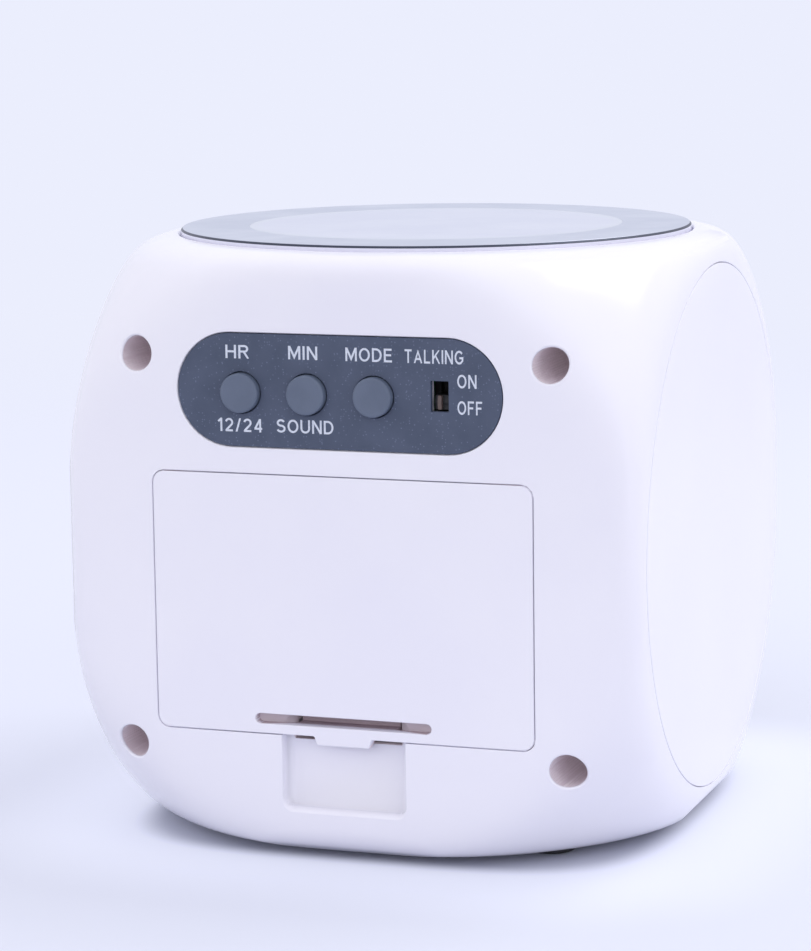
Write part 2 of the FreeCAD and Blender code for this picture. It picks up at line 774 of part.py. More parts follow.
def battery_door():
    """The door: plate, inner ribs, top tabs, and a strip that springs on a fold behind the finger slot."""
    door = rounded_plate(door_width, door_height, door_corner, 0, door_z, (door_seat_y, rear_y))
    parts = [door]
    for side in (-1, 1):
        rib = block(about(0, bay_length - 2 * bay_wall), (door_seat_y - door_rib_height, door_seat_y),
                    about(door_z + side * cell_pitch / 2, door_rib_width))
        parts.append(rib)
        root = block(about(side * door_tab_x, door_tab_width), (tab_back_y, door_seat_y),
                     (door_top_z - door_tab_root, door_top_z))
        tip = block(about(side * door_tab_x, door_tab_width), (tab_back_y, tab_face_y),
                    (door_top_z - door_tab_root, door_top_z + door_tab_rise))
        parts += [root, tip]
    half_top = latch_tab_width / 2
    tab_foot_z = door_foot_z - latch_tab_drop
    corners = [(-half_top, door_foot_z), (half_top, door_foot_z),
               (half_top - latch_tab_taper, tab_foot_z), (latch_tab_taper - half_top, tab_foot_z)]
    outline = Part.makePolygon([Vector(x, door_seat_y, z) for x, z in corners + corners[:1]])
    parts.append(Part.Face(outline).extrude(Vector(0, door_thickness, 0)))
    slot_z = door_foot_z + latch_strip + latch_slot_height / 2
    bend = (door_seat_y - latch_bend_depth, door_seat_y)
    bend_height = latch_slot_height + 2 * latch_bend_wall
    bend_foot_z = slot_z - bend_height / 2
    parts.append(block(about(0, latch_bend_width), bend, about(slot_z, bend_height)))
    leg = (door_seat_y - latch_leg_depth, door_seat_y)
    parts.append(block(about(0, latch_leg_width), leg, (latch_foot_z, bend_foot_z)))
    door = joined(parts)
    half_slot = (latch_slot_width - latch_slot_height) / 2
    span = (door_seat_y, rear_y)
    fold = (door_seat_y - latch_bend_depth + latch_bend_wall, door_seat_y)
    slot = [block(about(0, latch_bend_width), fold, about(slot_z, latch_slot_height))]
    slot.append(block((-half_slot, half_slot), span, about(slot_z, latch_slot_height)))
    slot += [rod_y(side * half_slot, slot_z, latch_slot_height / 2, span) for side in (-1, 1)]
    return door.cut(joined(slot))


def cell_z(row):
    return door_z + ((cell_count - 1) / 2 - row) * cell_pitch


def cell(row):
    """A cell across the bay. The cells point in turn to either side."""
    side = 1 if row % 2 == 0 else -1
    z = cell_z(row)
    nub_tip = bay_end_x - contact_thickness
    can_span = (nub_tip - cell_length, nub_tip - cell_nub_length)
    can = rod_x(cell_y, z, cell_radius, can_span)
    can = can.makeChamfer(cell_edge, [edge for edge in can.Edges if edge.BoundBox.XLength < cell_edge])
    can = can.fuse(rod_x(cell_y, z, cell_nub_radius, (can_span[1], nub_tip))).removeSplitter()
    return can if side > 0 else can.mirror(Vector(), Vector(1, 0, 0))


def contact_plates():
    """Spring steel plates on the bay's end walls: one single and one linked at each end."""
    plates = []
    for side in (-1, 1):
        x_span = sorted((side * bay_end_x, side * (bay_end_x - contact_thickness)))
        y_span = about(cell_y, contact_width)
        single = block(x_span, y_span, about(door_z - side * cell_pitch, contact_width))
        linked = block(x_span, y_span, about(door_z + side * cell_pitch / 2, cell_pitch + contact_width))
        plates += [single, linked]
    return Part.makeCompound(plates)


def contact_springs():
    """Tapered springs at the cells' flat ends, as cones of the coil's size."""
    springs = []
    for row in range(cell_count):
        side = -1 if row % 2 == 0 else 1
        start = Vector(side * (bay_end_x - contact_thickness), cell_y, cell_z(row))
        springs.append(Part.makeCone(contact_spring_radius, contact_tip_radius, contact_spring_length,
                                     start, Vector(-side, 0, 0)))
    return Part.makeCompound(springs)


def speaker_frame():
    """The pressed basket, facing the floor."""
    back = speaker_depth + speaker_flange_thickness
    inner = speaker_radius - speaker_flange
    skin = speaker_flange_thickness
    points = [(inner, 0), (speaker_radius, 0), (speaker_radius, skin), (inner + skin, skin),
              (speaker_back_radius + skin, back), (0, back), (0, back - skin), (speaker_back_radius, back - skin),
              (inner, skin)]
    return turned(points, Vector(0, speaker_y, inner_floor_z), (Vector(1, 0, 0), 0))


def speaker_cone():
    """The paper cone with its dust cap, inside the basket."""
    rim = speaker_radius - speaker_flange - cone_thickness
    throat_z = speaker_depth - 2 * speaker_flange_thickness
    low = speaker_flange_thickness
    points = [(rim - cone_thickness, low), (rim, low), (cone_throat, throat_z), (0, throat_z),
              (0, throat_z - cone_thickness), (cone_throat - cone_thickness, throat_z - cone_thickness)]
    return turned(points, Vector(0, speaker_y, inner_floor_z), (Vector(1, 0, 0), 0))


def speaker_magnet():
    start = inner_floor_z + speaker_depth + speaker_flange_thickness
    return rod_z(0, speaker_y, magnet_radius, (start, start + magnet_height))


def case_screws():
    """The four case screws at the bottom of their wells, each with a slotted head."""
    screws = []
    for x, z in well_places:
        head = rod_y(x, z, screw_head_radius, (well_floor_y, well_floor_y + screw_head_height))
        screw = head.fuse(rod_y(x, z, screw_radius, (well_floor_y - screw_length, well_floor_y)))
        top = well_floor_y + screw_head_height
        slot = block(about(x, 2 * screw_head_radius), (top - screw_slot_depth, top), about(z, screw_slot_width))
        screws.append(screw.cut(slot))
    return Part.makeCompound(screws)


def foot(x, y):
    """A rubber pad, bevelled where it meets the table."""
    pad = rod_z(x * foot_offset, y * foot_offset, foot_radius, (0, floor_z + foot_pocket_depth))
    return pad.makeChamfer(foot_edge, [edge for edge in pad.Edges if edge.BoundBox.ZMax < floor_z])


def talk_inlay():
    return rod_z(0, 0, inlay_radius, (plate_top_z - inlay_depth, plate_top_z))


shell = housing()
nodes = {
    "front_shell": front_shell(shell),
    "rear_shell": rear_shell(shell),
    "right_side_cover": side_cover(-1),
    "left_side_cover": side_cover(1),
    "top_deck": top_deck(),
    "talk_plate": talk_plate(),
    "talk_inlay": talk_inlay(),
    "talk_springs": talk_springs(),
    "talk_board": talk_board(),
    "talk_board_screws": talk_board_screws(),
    "talk_switch": on_talk_board(press_switch()),
    "talk_plunger": on_talk_board(press_plunger()),
    "front_lens": front_lens(),
    "dial_mask": dial_mask(),
    "lcd_glass": lcd_glass(),
    "lcd_holder": lcd_holder(),
    "backlight_guide": backlight_guide(),
    "contact_strips": contact_strips(),
    "main_board": main_board(),
    "chip_cover": chip_cover(),
    "main_board_screws": main_board_screws(),
    "control_panel": control_panel(),
    "key_board": key_board(),
    "key_board_screws": key_board_screws(),
    "talking_switch": talking_switch(),
    "talking_slider": talking_slider(),
    "battery_door": battery_door(),
    "contact_plates": contact_plates(),
    "contact_springs": contact_springs(),
    "speaker_frame": speaker_frame(),
    "speaker_cone": speaker_cone(),
    "speaker_magnet": speaker_magnet(),
    "case_screws": case_screws(),
}
for name, x in cap_places.items():
    nodes[name + "_button"] = button_cap(x)
    nodes[name + "_switch"] = on_key_board(press_switch(), x)
    nodes[name + "_plunger"] = on_key_board(press_plunger(), x)
for row, name in enumerate(("upper", "middle", "lower")):
    nodes["aaa_cell_" + name] = cell(row)
for name, (x, y) in foot_places.items():
    nodes["foot_" + name] = foot(x, y)

os.makedirs("parts", exist_ok=True)
for name, shape in nodes.items():
    shape.exportStep("parts/" + name + ".step")
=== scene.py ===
import math

import bmesh
import bpy
import numpy as np
from mathutils import Matrix, Vector


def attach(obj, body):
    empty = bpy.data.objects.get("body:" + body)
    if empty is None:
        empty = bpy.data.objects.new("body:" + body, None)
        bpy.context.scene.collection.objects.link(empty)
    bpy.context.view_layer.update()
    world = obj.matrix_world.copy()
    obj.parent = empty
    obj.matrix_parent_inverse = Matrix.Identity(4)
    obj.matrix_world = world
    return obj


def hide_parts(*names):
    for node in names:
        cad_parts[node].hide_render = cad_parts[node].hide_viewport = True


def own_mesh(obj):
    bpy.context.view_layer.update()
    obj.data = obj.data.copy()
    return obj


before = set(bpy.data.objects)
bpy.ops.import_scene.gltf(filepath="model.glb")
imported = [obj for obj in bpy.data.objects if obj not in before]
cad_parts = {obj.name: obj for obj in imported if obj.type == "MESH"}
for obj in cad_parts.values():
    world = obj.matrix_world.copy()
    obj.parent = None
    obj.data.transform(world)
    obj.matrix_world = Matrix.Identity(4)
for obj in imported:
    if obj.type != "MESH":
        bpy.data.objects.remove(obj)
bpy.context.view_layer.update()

# Table, backdrop and camera. One pale sheet runs under the clock and out to the horizon. The camera sees
# it as an even cool white that keeps the clock's soft shadow, and so do reflections in gloss and metal.
backdrop_colour = (0.832, 0.855, 0.985, 1.0)
sheet_colour = (0.59, 0.61, 0.705, 1.0)
sheet_half, sheet_glow, glow_by_clock = 9.0, 0.20, 0.33
under_reach, clear_reach, glow_reach = 0.040, 0.0455, 0.074
shadow_reach, shadow_end = 0.24, 0.75


def link_piece(name, data):
    piece = bpy.data.objects.new(name, data)
    bpy.context.scene.collection.objects.link(piece)
    return piece


def face_mesh(name, points, faces):
    mesh = bpy.data.meshes.new(name)
    mesh.from_pydata(np.reshape(points, (-1, 3)).tolist(), [], faces)
    return mesh


def add_node(tree, kind, feeds=None, **settings):
    """A shader node with its settings. Each input that feeds names gets a value or another node's output."""
    node = tree.nodes.new("ShaderNode" + kind)
    for label, value in settings.items():
        setattr(node, label, value)
    for socket, feed in (feeds or {}).items():
        if isinstance(feed, bpy.types.NodeSocket):
            tree.links.new(feed, node.inputs[socket])
        else:
            node.inputs[socket].default_value = feed
    return node


def between(tree, value, low, high, to_low=0.0, to_high=1.0, kind="LINEAR"):
    """A value stretched from one span to another."""
    feeds = {"Value": value, "From Min": low, "From Max": high, "To Min": to_low, "To Max": to_high}
    return add_node(tree, "MapRange", feeds, interpolation_type=kind).outputs[0]


def product(tree, first, second):
    return add_node(tree, "Math", {0: first, 1: second}, operation="MULTIPLY").outputs[0]


def seen_directly(tree):
    """1 for rays from the camera, or by way of gloss or glass, and 0 for the light that falls on things."""
    path = add_node(tree, "LightPath").outputs
    seen = path["Is Camera Ray"]
    for label in ("Is Glossy Ray", "Is Transmission Ray"):
        seen = add_node(tree, "Math", {0: seen, 1: path[label]}, operation="MAXIMUM").outputs[0]
    return seen


def backdrop_sheet():
    """The sheet's finish: lit near the clock, and the backdrop's own colour from a smooth blend outwards. A
    faint glow, seen only directly, lifts the shadow round the clock, but not the dark gap under it. By the
    square root of x to the fourth plus y to the fourth, it is none up to the first reach squared, most at
    the second and weaker from the third on."""
    material = bpy.data.materials.new("backdrop_sheet")
    material.use_nodes = True
    tree = material.node_tree
    tree.nodes.clear()
    place = add_node(tree, "TexCoord").outputs["Object"]
    distance = add_node(tree, "VectorMath", {0: place}, operation="LENGTH").outputs["Value"]
    squares = add_node(tree, "VectorMath", {0: place, 1: place}, operation="MULTIPLY").outputs[0]
    span = add_node(tree, "VectorMath", {0: squares}, operation="LENGTH").outputs["Value"]
    seen = strength = seen_directly(tree)
    for low, high, start, end in ((under_reach, clear_reach, 0.0, 1.0),
                                  (clear_reach, glow_reach, glow_by_clock, sheet_glow)):
        lift = between(tree, span, low ** 2, high ** 2, start, end, "SMOOTHSTEP")
        strength = product(tree, lift, strength)
    lit = add_node(tree, "BsdfDiffuse", {"Color": sheet_colour}).outputs[0]
    glow = add_node(tree, "Emission", {"Color": backdrop_colour, "Strength": strength}).outputs[0]
    near = add_node(tree, "AddShader", {0: lit, 1: glow}).outputs[0]
    horizon = add_node(tree, "Emission", {"Color": backdrop_colour, "Strength": seen}).outputs[0]
    far = between(tree, distance, shadow_reach, shadow_end, kind="SMOOTHSTEP")
    blend = add_node(tree, "MixShader", {0: far, 1: near, 2: horizon}).outputs[0]
    add_node(tree, "OutputMaterial", {"Surface": blend})
    return material


def box_corners(half_width, foot, top):
    return [(-half_width, foot), (half_width, foot), (half_width, top), (-half_width, top)]


sheet_corners = [(x, y, 0) for x, y in box_corners(sheet_half, -sheet_half, sheet_half)]
table_sheet = link_piece("table_sheet", face_mesh("table_sheet", sheet_corners, [(0, 1, 2, 3)]))
table_sheet.data.materials.append(backdrop_sheet())

room_colour = (0.955, 0.95, 0.985, 1.0)
level_at_horizon, level_overhead = 1.66, 0.74
world = bpy.data.worlds.new("pale_room")
bpy.context.scene.world = world
world.use_nodes = True
room = world.node_tree
room.nodes.clear()
room_height = add_node(room, "SeparateXYZ", {0: add_node(room, "TexCoord").outputs["Generated"]}).outputs["Z"]
room_level = between(room, room_height, 0.0, 1.0, level_at_horizon, level_overhead)
room_light = add_node(room, "Background", {"Color": room_colour, "Strength": room_level}).outputs[0]
room_backdrop = add_node(room, "Background", {"Color": backdrop_colour}).outputs[0]
room_mix = add_node(room, "MixShader", {0: seen_directly(room), 1: room_light, 2: room_backdrop}).outputs[0]
add_node(room, "OutputWorld", {"Surface": room_mix})

camera_turn = math.radians(19.52)
camera_rise = math.radians(9.06)
camera_roll = math.radians(-0.76)
camera_distance = 0.55185
camera_aim = Vector((0.00582, 0.0, 0.05336))
back = Vector((-math.sin(camera_turn) * math.cos(camera_rise),
               math.cos(camera_turn) * math.cos(camera_rise), math.sin(camera_rise)))
level = (-back).cross(Vector((0, 0, 1))).normalized()
upright = level.cross(-back)
camera_right = math.cos(camera_roll) * level + math.sin(camera_roll) * upright
camera_up = math.cos(camera_roll) * upright - math.sin(camera_roll) * level
camera_data = bpy.data.cameras.new("camera")
camera_data.sensor_width, camera_data.lens = 36.0, 127.08
camera = link_piece("camera", camera_data)
camera.matrix_world = Matrix.Translation(camera_aim + back * camera_distance) @ Matrix(
    (camera_right, camera_up, back)).transposed().to_4x4()
bpy.context.scene.camera = camera
bpy.context.scene.view_settings.view_transform = "Standard"


def soft_box(name, place, size, power, colour):
    """A rectangular lamp at a place, turned so that it faces the middle of the clock."""
    data = bpy.data.lights.new(name, "AREA")
    data.shape = "RECTANGLE"
    data.size, data.size_y = size
    data.energy = power
    data.color = colour
    lamp = link_piece(name, data)
    lamp.location = place
    lamp.rotation_euler = (camera_aim - Vector(place)).to_track_quat("-Z", "Y").to_euler()


soft_box("side_box", (-0.72, 0.30, 0.30), (0.34, 0.62), 0.25, (1.0, 0.975, 0.98))
soft_box("top_box", (-0.34, -0.30, 0.74), (0.50, 0.40), 1.6, (0.97, 0.98, 1.0))

# Rear shell: the control half of the housing, one glossy white moulding with four screw wells, the battery
# bay, the latch notch and finger recess. Its outside is a cube whose faces, bends and corners flow together.
form_middle, form_ball, form_power = 0.0476, 0.0663, 32.0
form_halves = np.array([0.04698, 0.04668, 0.04678])
form_cells, halvings, merge_distance = 96, 44, 2e-7


def form_value(points, inset=0.0):
    """One on the surface: the power mean of the share that the distance has of the ball's radius, and the
    share that each offset has of its half."""
    offset = points - (0, 0, form_middle)
    distance = np.linalg.norm(offset, axis=-1, keepdims=True) / (form_ball - inset)
    shares = np.concatenate([distance, np.abs(offset) / (form_halves - inset)], axis=-1)
    largest = shares.max(axis=-1, keepdims=True)
    return largest[..., 0] * ((shares / largest) ** form_power).sum(axis=-1) ** (1 / form_power)


def form_normal(points, inset=0.0):
    """The slope of form_value, made one long: it points straight out of the surface."""
    offset = points - (0, 0, form_middle)
    distance = np.linalg.norm(offset, axis=-1, keepdims=True)
    ball, halves = form_ball - inset, form_halves - inset
    slope = (distance / ball) ** (form_power - 1) * offset / (distance * ball)
    slope += (np.abs(offset) / halves) ** (form_power - 1) * np.sign(offset) / halves
    return slope / np.linalg.norm(slope, axis=-1, keepdims=True)


def out_to_form(start, way, far, inset=0.0):
    """How far from each start, along its way, the surface lies, by halving a span that ends far out."""
    low, high = np.zeros(len(way)), np.full(len(way), far)
    for _ in range(halvings):
        reach = (low + high) / 2
        outside = form_value(start + way * reach[:, None], inset) > 1
        low, high = np.where(outside, low, reach), np.where(outside, reach, high)
    return low


def form_height(pairs, axis, inset=0.0):
    """How far out along an axis the surface lies over pairs of the other two."""
    start = np.insert(pairs, axis, form_middle if axis == 2 else 0.0, axis=1)
    way = np.eye(3)[np.full(len(pairs), axis)]
    return out_to_form(start, way, form_halves[axis] * 1.1, inset)


def quad_mesh(name, points, closed_along, closed_across):
    """A grid of points made a mesh of quads, closed along or across where the surface meets itself."""
    rows, columns = points.shape[:2]
    index = np.arange(rows * columns).reshape(rows, columns)
    if closed_along:
        index = np.vstack([index, index[:1]])
    if closed_across:
        index = np.hstack([index, index[:, :1]])
    quads = np.stack([index[:-1, :-1], index[1:, :-1], index[1:, 1:], index[:-1, 1:]], axis=-1)
    return face_mesh(name, points, quads.reshape(-1, 4).tolist())


def weld(mesh, distance=1e-7):
    """Merges points that coincide, drops faces that have shrunk to nothing, and turns all faces outwards."""
    work = bmesh.new()
    work.from_mesh(mesh)
    bmesh.ops.remove_doubles(work, verts=work.verts, dist=distance)
    bmesh.ops.dissolve_degenerate(work, dist=distance, edges=work.edges)
    bmesh.ops.recalc_face_normals(work, faces=work.faces)
    work.to_mesh(mesh)
    work.free()
    return mesh


def smooth(mesh, angle=32.0):
    mesh.polygons.foreach_set("use_smooth", np.ones(len(mesh.polygons), bool))
    mesh.set_sharp_from_angle(angle=math.radians(angle))
    return mesh


def housing_form(name, inset=0.0):
    """The whole outside as a closed surface: rays over a cube's six sides, each divided by form_value."""
    turns = np.tan(np.linspace(-1, 1, form_cells + 1) * math.pi / 4)
    across, along = np.meshgrid(turns, turns, indexing="ij")
    sides = [np.stack([np.full_like(across, sign), across, along], axis=-1) for sign in (-1.0, 1.0)]
    rays = np.concatenate([np.roll(side, axis, axis=-1) for axis in range(3) for side in sides])
    points = rays / form_value(rays + (0, 0, form_middle), inset)[..., None] + (0, 0, form_middle)
    index = np.arange(6 * (form_cells + 1) ** 2).reshape(6, form_cells + 1, form_cells + 1)
    quads = np.stack([index[:, :-1, :-1], index[:, 1:, :-1], index[:, 1:, 1:], index[:, :-1, 1:]], axis=-1)
    return link_piece(name, weld(face_mesh(name, points, quads.reshape(-1, 4).tolist())))


def circle_outline(middle, radius, count=160):
    """Points of a circle and their outward directions."""
    turn = np.linspace(0, 2 * math.pi, count, endpoint=False)
    outward = np.stack([np.cos(turn), np.sin(turn)], axis=-1)
    return np.array(middle) + radius * outward, outward


def rounded_outline(corners, radii, spacing):
    """A polygon with an arc at each corner: points at about the spacing, and their outward directions."""
    corners = np.array(corners, float)
    pieces, outwards, ends = [], [], []
    for before, here, after, radius in zip(np.roll(corners, 1, 0), corners, np.roll(corners, -1, 0), radii):
        arrive = (here - before) / np.linalg.norm(here - before)
        leave = (after - here) / np.linalg.norm(after - here)
        turn = math.atan2(arrive[0] * leave[1] - arrive[1] * leave[0], arrive @ leave)
        reach = radius * math.tan(abs(turn) / 2)
        left = np.array([-arrive[1], arrive[0]]) * math.copysign(1.0, turn)
        middle = here - arrive * reach + left * radius
        steps = np.linspace(0, turn, max(4, int(abs(turn) * radius / spacing) + 1))
        spin = np.stack([np.cos(steps), -np.sin(steps), np.sin(steps), np.cos(steps)], axis=-1)
        spin = spin.reshape(-1, 2, 2)
        pieces.append(middle + spin @ (-left * radius))
        outwards.append(spin @ np.array([arrive[1], -arrive[0]]))
        ends.append((here + leave * reach, leave))
    points, directions = [], []
    for index, (arc, outward) in enumerate(zip(pieces, outwards)):
        following = pieces[(index + 1) % len(pieces)][0]
        start, leave = ends[index]
        span = np.linalg.norm(following - start)
        shares = np.arange(1, int(span / spacing) + 1)[:, None] / (int(span / spacing) + 1)
        points += [arc, start + shares * (following - start)]
        directions += [outward, np.repeat([[leave[1], -leave[0]]], len(shares), axis=0)]
    return np.concatenate(points), np.concatenate(directions)


def round_ended(half_width, foot, top, spacing):
    """A long outline with half circles for ends, a hair smaller than the height allows."""
    return rounded_outline(box_corners(half_width, foot, top), [(top - foot) / 2 - 1e-6] * 4, spacing)


rim_overrun, rim_steps = 0.0005, 5


def rim(name, outline, axis, sign, radius, into_material, inset=0.0, level=None):
    """A ring that takes the sharp corner off an edge: its section is a square corner less a quarter circle,
    carried round the outline at the height of the housing's surface, or at a level. The radius may change
    from point to point."""
    points, outward = outline
    inward = outward * into_material
    radius = np.broadcast_to(radius, len(points))[:, None]
    height = form_height(points + inward * radius, axis, inset)
    if level is not None:
        height = np.full(len(points), level)
    turn = np.linspace(math.pi, math.pi / 2, rim_steps)
    over = np.full((len(points), 1), rim_overrun)
    side = np.concatenate([-over, radius * (1 + np.cos(turn)), radius, -over], axis=1)
    rise = np.concatenate([-radius, radius * (np.sin(turn) - 1), over, over], axis=1)
    flat = points[:, None, :] + side[..., None] * inward[:, None, :]
    out = sign * (height[:, None] + rise) + (form_middle if axis == 2 else 0.0)
    ring = np.insert(flat.reshape(-1, 2), axis, out.ravel(), axis=1).reshape(*side.shape, 3)
    return link_piece(name, weld(quad_mesh(name, ring, True, True)))


def groove(name, y, half_width, depth, count=360):
    """A ring round the housing at a depth from the front: its section is a shallow V across the surface."""
    turn = np.linspace(0, 2 * math.pi, count, endpoint=False)
    ray = np.stack([np.cos(turn), np.zeros(count), np.sin(turn)], axis=-1)
    place = (0, y, form_middle) + ray * out_to_form((0, y, form_middle), ray, form_ball)[:, None]
    outward = form_normal(place)
    section = ((-2 * half_width, depth), (0.0, -depth), (2 * half_width, depth))
    ring = np.stack([place + outward * rise + np.array([0, aside, 0]) for aside, rise in section], axis=1)
    return link_piece(name, weld(quad_mesh(name, ring, True, True)))


def carve(piece, operation, cutters):
    """Leaves what the piece shares with the cutters, or what they leave of it. The cutters stay."""
    for cutter in cutters:
        step = piece.modifiers.new(cutter.name, "BOOLEAN")
        step.operation = operation
        step.solver = "MANIFOLD"
        step.object = cutter
    graph = bpy.context.evaluated_depsgraph_get()
    mesh = bpy.data.meshes.new_from_object(piece.evaluated_get(graph))
    piece.modifiers.clear()
    mesh.name = piece.name
    piece.data = mesh
    return piece


def moulding(name, node, form, rims):
    """A copy of a node, trimmed to the housing's flowing form where one is given, with its edges rounded."""
    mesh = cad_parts[node].data.copy()
    mesh.name = name
    mesh.materials.clear()
    piece = link_piece(name, weld(mesh, merge_distance))
    if form:
        carve(piece, "INTERSECT", [form])
    return carve(piece, "DIFFERENCE", rims)


def read(items, label, width=3, kind=float):
    """One attribute of all vertices, corners or faces, as an array."""
    values = np.empty(len(items) * width, kind)
    items.foreach_get(label, values)
    return values.reshape(-1, width) if width > 1 else values


well_radius, well_floor = 0.00265, 0.010
well_places = [(-0.0331, 0.0783), (0.0331, 0.0783), (-0.0353, 0.0172), (0.0353, 0.0172)]
on_form, near_form, on_wall_slack = 3e-5, 9e-3, 6e-5


def outer_normals(piece, inset=0.0, wells=()):
    """Shades the outside by the form's own directions, so that reflections flow over every joint between
    faces, and the wall of a round well by the directions to its axis. A facet that lies a little inside the
    form is shaded so too, if it faces nearly the same way."""
    mesh = smooth(piece.data)
    places, corner_point = read(mesh.vertices, "co"), read(mesh.loops, "vertex_index", 1, int)
    starts, totals = read(mesh.polygons, "loop_start", 1, int), read(mesh.polygons, "loop_total", 1, int)
    face_of = np.repeat(np.arange(len(totals)), totals)
    faced = read(mesh.polygons, "normal")[face_of]
    chosen = np.zeros((len(mesh.loops), 3))

    def shade_faces(fits, wanted):
        whole = np.minimum.reduceat(fits.astype(int), starts)[face_of] == 1
        chosen[whole] = wanted[whole]

    off_form = np.abs(form_value(places, inset) - 1)[corner_point]
    wanted = form_normal(places, inset)[corner_point]
    along = (wanted * faced).sum(axis=-1)
    shade_faces(((off_form < on_form) & (along > 0.9)) | ((off_form < near_form) & (along > 0.955)), wanted)
    for middle in wells:
        reach = places[:, (0, 2)] - middle
        far = np.linalg.norm(reach, axis=-1)
        inward = np.insert(-reach / far[:, None], 1, 0.0, axis=1)[corner_point]
        on_wall = ((np.abs(far - well_radius) < on_wall_slack) & (places[:, 1] > well_floor))[corner_point]
        shade_faces(on_wall & ((inward * faced).sum(axis=-1) > 0.95), inward)
    mesh.normals_split_custom_set(chosen.tolist())


seam_gap = 0.00015
door_half_width, door_top, door_foot, door_corner = 0.0305, 0.0604, 0.0202, 0.0018
panel_half_width, panel_top, panel_foot = 0.02595, 0.08195, 0.06465
recess_half_width, recess_top, recess_foot, recess_corner = 0.010, 0.02005, 0.00875, 0.0016
recess_overlap, recess_top_corner, recess_slope = 0.0015, 0.0002, 0.001
cover_radius, collar_radius = 0.0417, 0.04155
well_edge, door_seat_edge, panel_seat_edge, recess_edge = 0.0004, 0.00022, 0.0002, 0.0003
cover_edge, collar_edge = 0.0001, 0.0003
seam_y, seam_half_width, seam_depth = 0.003, 0.00008, 0.00012
door_step, panel_step, small_step = 0.0012, 0.0005, 0.0004
side_middle = (0, form_middle)

form = housing_form("housing_form")
rear_rims = [rim("well_rim_%d" % index, circle_outline(place, well_radius, 96), 1, 1, well_edge, 1)
             for index, place in enumerate(well_places)]
door_seat = box_corners(door_half_width + seam_gap, door_foot - seam_gap, door_top + seam_gap)
door_seat = rounded_outline(door_seat, [door_corner + seam_gap] * 4, door_step)
rear_rims.append(rim("door_seat_rim", door_seat, 1, 1, door_seat_edge, 1))
panel_seat = round_ended(panel_half_width + seam_gap, panel_foot - seam_gap, panel_top + seam_gap, panel_step)
rear_rims.append(rim("panel_seat_rim", panel_seat, 1, 1, panel_seat_edge, 1))
recess_outline = rounded_outline(box_corners(recess_half_width, recess_foot, recess_top + recess_overlap),
                                 [recess_corner] * 2 + [recess_top_corner] * 2, small_step)
recess_low = np.clip(1 - (recess_outline[0][:, 1] - recess_foot) / recess_corner, 0, 1)
rear_rims.append(rim("recess_rim", recess_outline, 1, 1, recess_edge + recess_slope * recess_low ** 1.5, 1))
side_rims = [rim("side_rim_%d" % sign, circle_outline(side_middle, cover_radius + seam_gap, 240), 0, sign,
                 cover_edge, 1) for sign in (-1, 1)]
collar_rim = rim("collar_rim", circle_outline((0, 0), collar_radius, 240), 2, 1, collar_edge, 1)
shared_cutters = side_rims + [collar_rim, groove("seam_groove", seam_y, seam_half_width, seam_depth)]
rear_moulding = moulding("rear_moulding", "rear_shell", form, rear_rims + shared_cutters)
outer_normals(rear_moulding, wells=well_places)


def shown(red, green, blue):
    """A colour given as it shows on a screen, from 0 to 255, as the light that the shader works in."""
    light = [((share / 255 + 0.055) / 1.055) ** 2.4 if share > 10 else share / 3295
             for share in (red, green, blue)]
    return (*light, 1.0)


def tint(tree, share, first, second):
    """Two colours, sockets or values, mixed by a share."""
    return add_node(tree, "Mix", {0: share, 6: first, 7: second}, data_type="RGBA").outputs[2]


def moulded_skin():
    """What a mould leaves: broad patches that shift the colour and gloss a little, and a fine grain in
    relief."""
    group = bpy.data.node_groups.new("moulded_skin", "ShaderNodeTree")
    for way, kind, labels in (("INPUT", "Color", ("Colour", "Shade")),
                              ("INPUT", "Float", ("Patch Scale", "Grain Scale", "Gloss Low", "Gloss High")),
                              ("OUTPUT", "Color", ("Colour",)), ("OUTPUT", "Float", ("Roughness", "Height"))):
        for label in labels:
            group.interface.new_socket(label, in_out=way, socket_type="NodeSocket" + kind)
    given = group.nodes.new("NodeGroupInput").outputs
    result = group.nodes.new("NodeGroupOutput").inputs
    place = add_node(group, "TexCoord").outputs["Object"]
    noises = [{"Vector": place, "Scale": given[label], "Detail": detail}
              for label, detail in (("Patch Scale", 3.0), ("Grain Scale", 2.0))]
    patch, grain = [add_node(group, "TexNoise", noise).outputs[0] for noise in noises]
    share = between(group, patch, 0.35, 0.65)
    group.links.new(tint(group, share, given["Colour"], given["Shade"]), result["Colour"])
    gloss = add_node(group, "Mix", {0: share, 2: given["Gloss Low"], 3: given["Gloss High"]})
    group.links.new(gloss.outputs[0], result["Roughness"])
    group.links.new(grain, result["Height"])
    return group


moulded_skin_group = moulded_skin()


def finish(name, colour, shade, patch, grain, relief, gloss, **shader):
    """A moulded or rolled finish: two near colours, as they show on a screen, in patches, a grain of that
    relief in metres, and roughness in a span."""
    material = bpy.data.materials.new(name)
    material.use_nodes = True
    tree = material.node_tree
    surface = tree.nodes["Principled BSDF"].inputs
    feeds = {"Colour": shown(*colour), "Shade": shown(*shade), "Patch Scale": patch, "Grain Scale": grain,
             "Gloss Low": gloss[0], "Gloss High": gloss[1]}
    skin = add_node(tree, "Group", feeds, node_tree=moulded_skin_group, name="skin").outputs
    bump = add_node(tree, "Bump", {"Distance": relief, "Height": skin["Height"]})
    tree.links.new(skin["Colour"], surface["Base Color"])
    tree.links.new(skin["Roughness"], surface["Roughness"])
    tree.links.new(bump.outputs["Normal"], surface["Normal"])
    for label, value in shader.items():
        surface[label.replace("_", " ")].default_value = value
    return material


def use(piece, body, node, slot, *materials):
    """The piece stands for a node: it rides on its body and has its finishes. The slot is not used."""
    piece.data.materials.clear()
    for material in materials:
        piece.data.materials.append(material)
    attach(piece, body)
    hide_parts(node)
    return piece


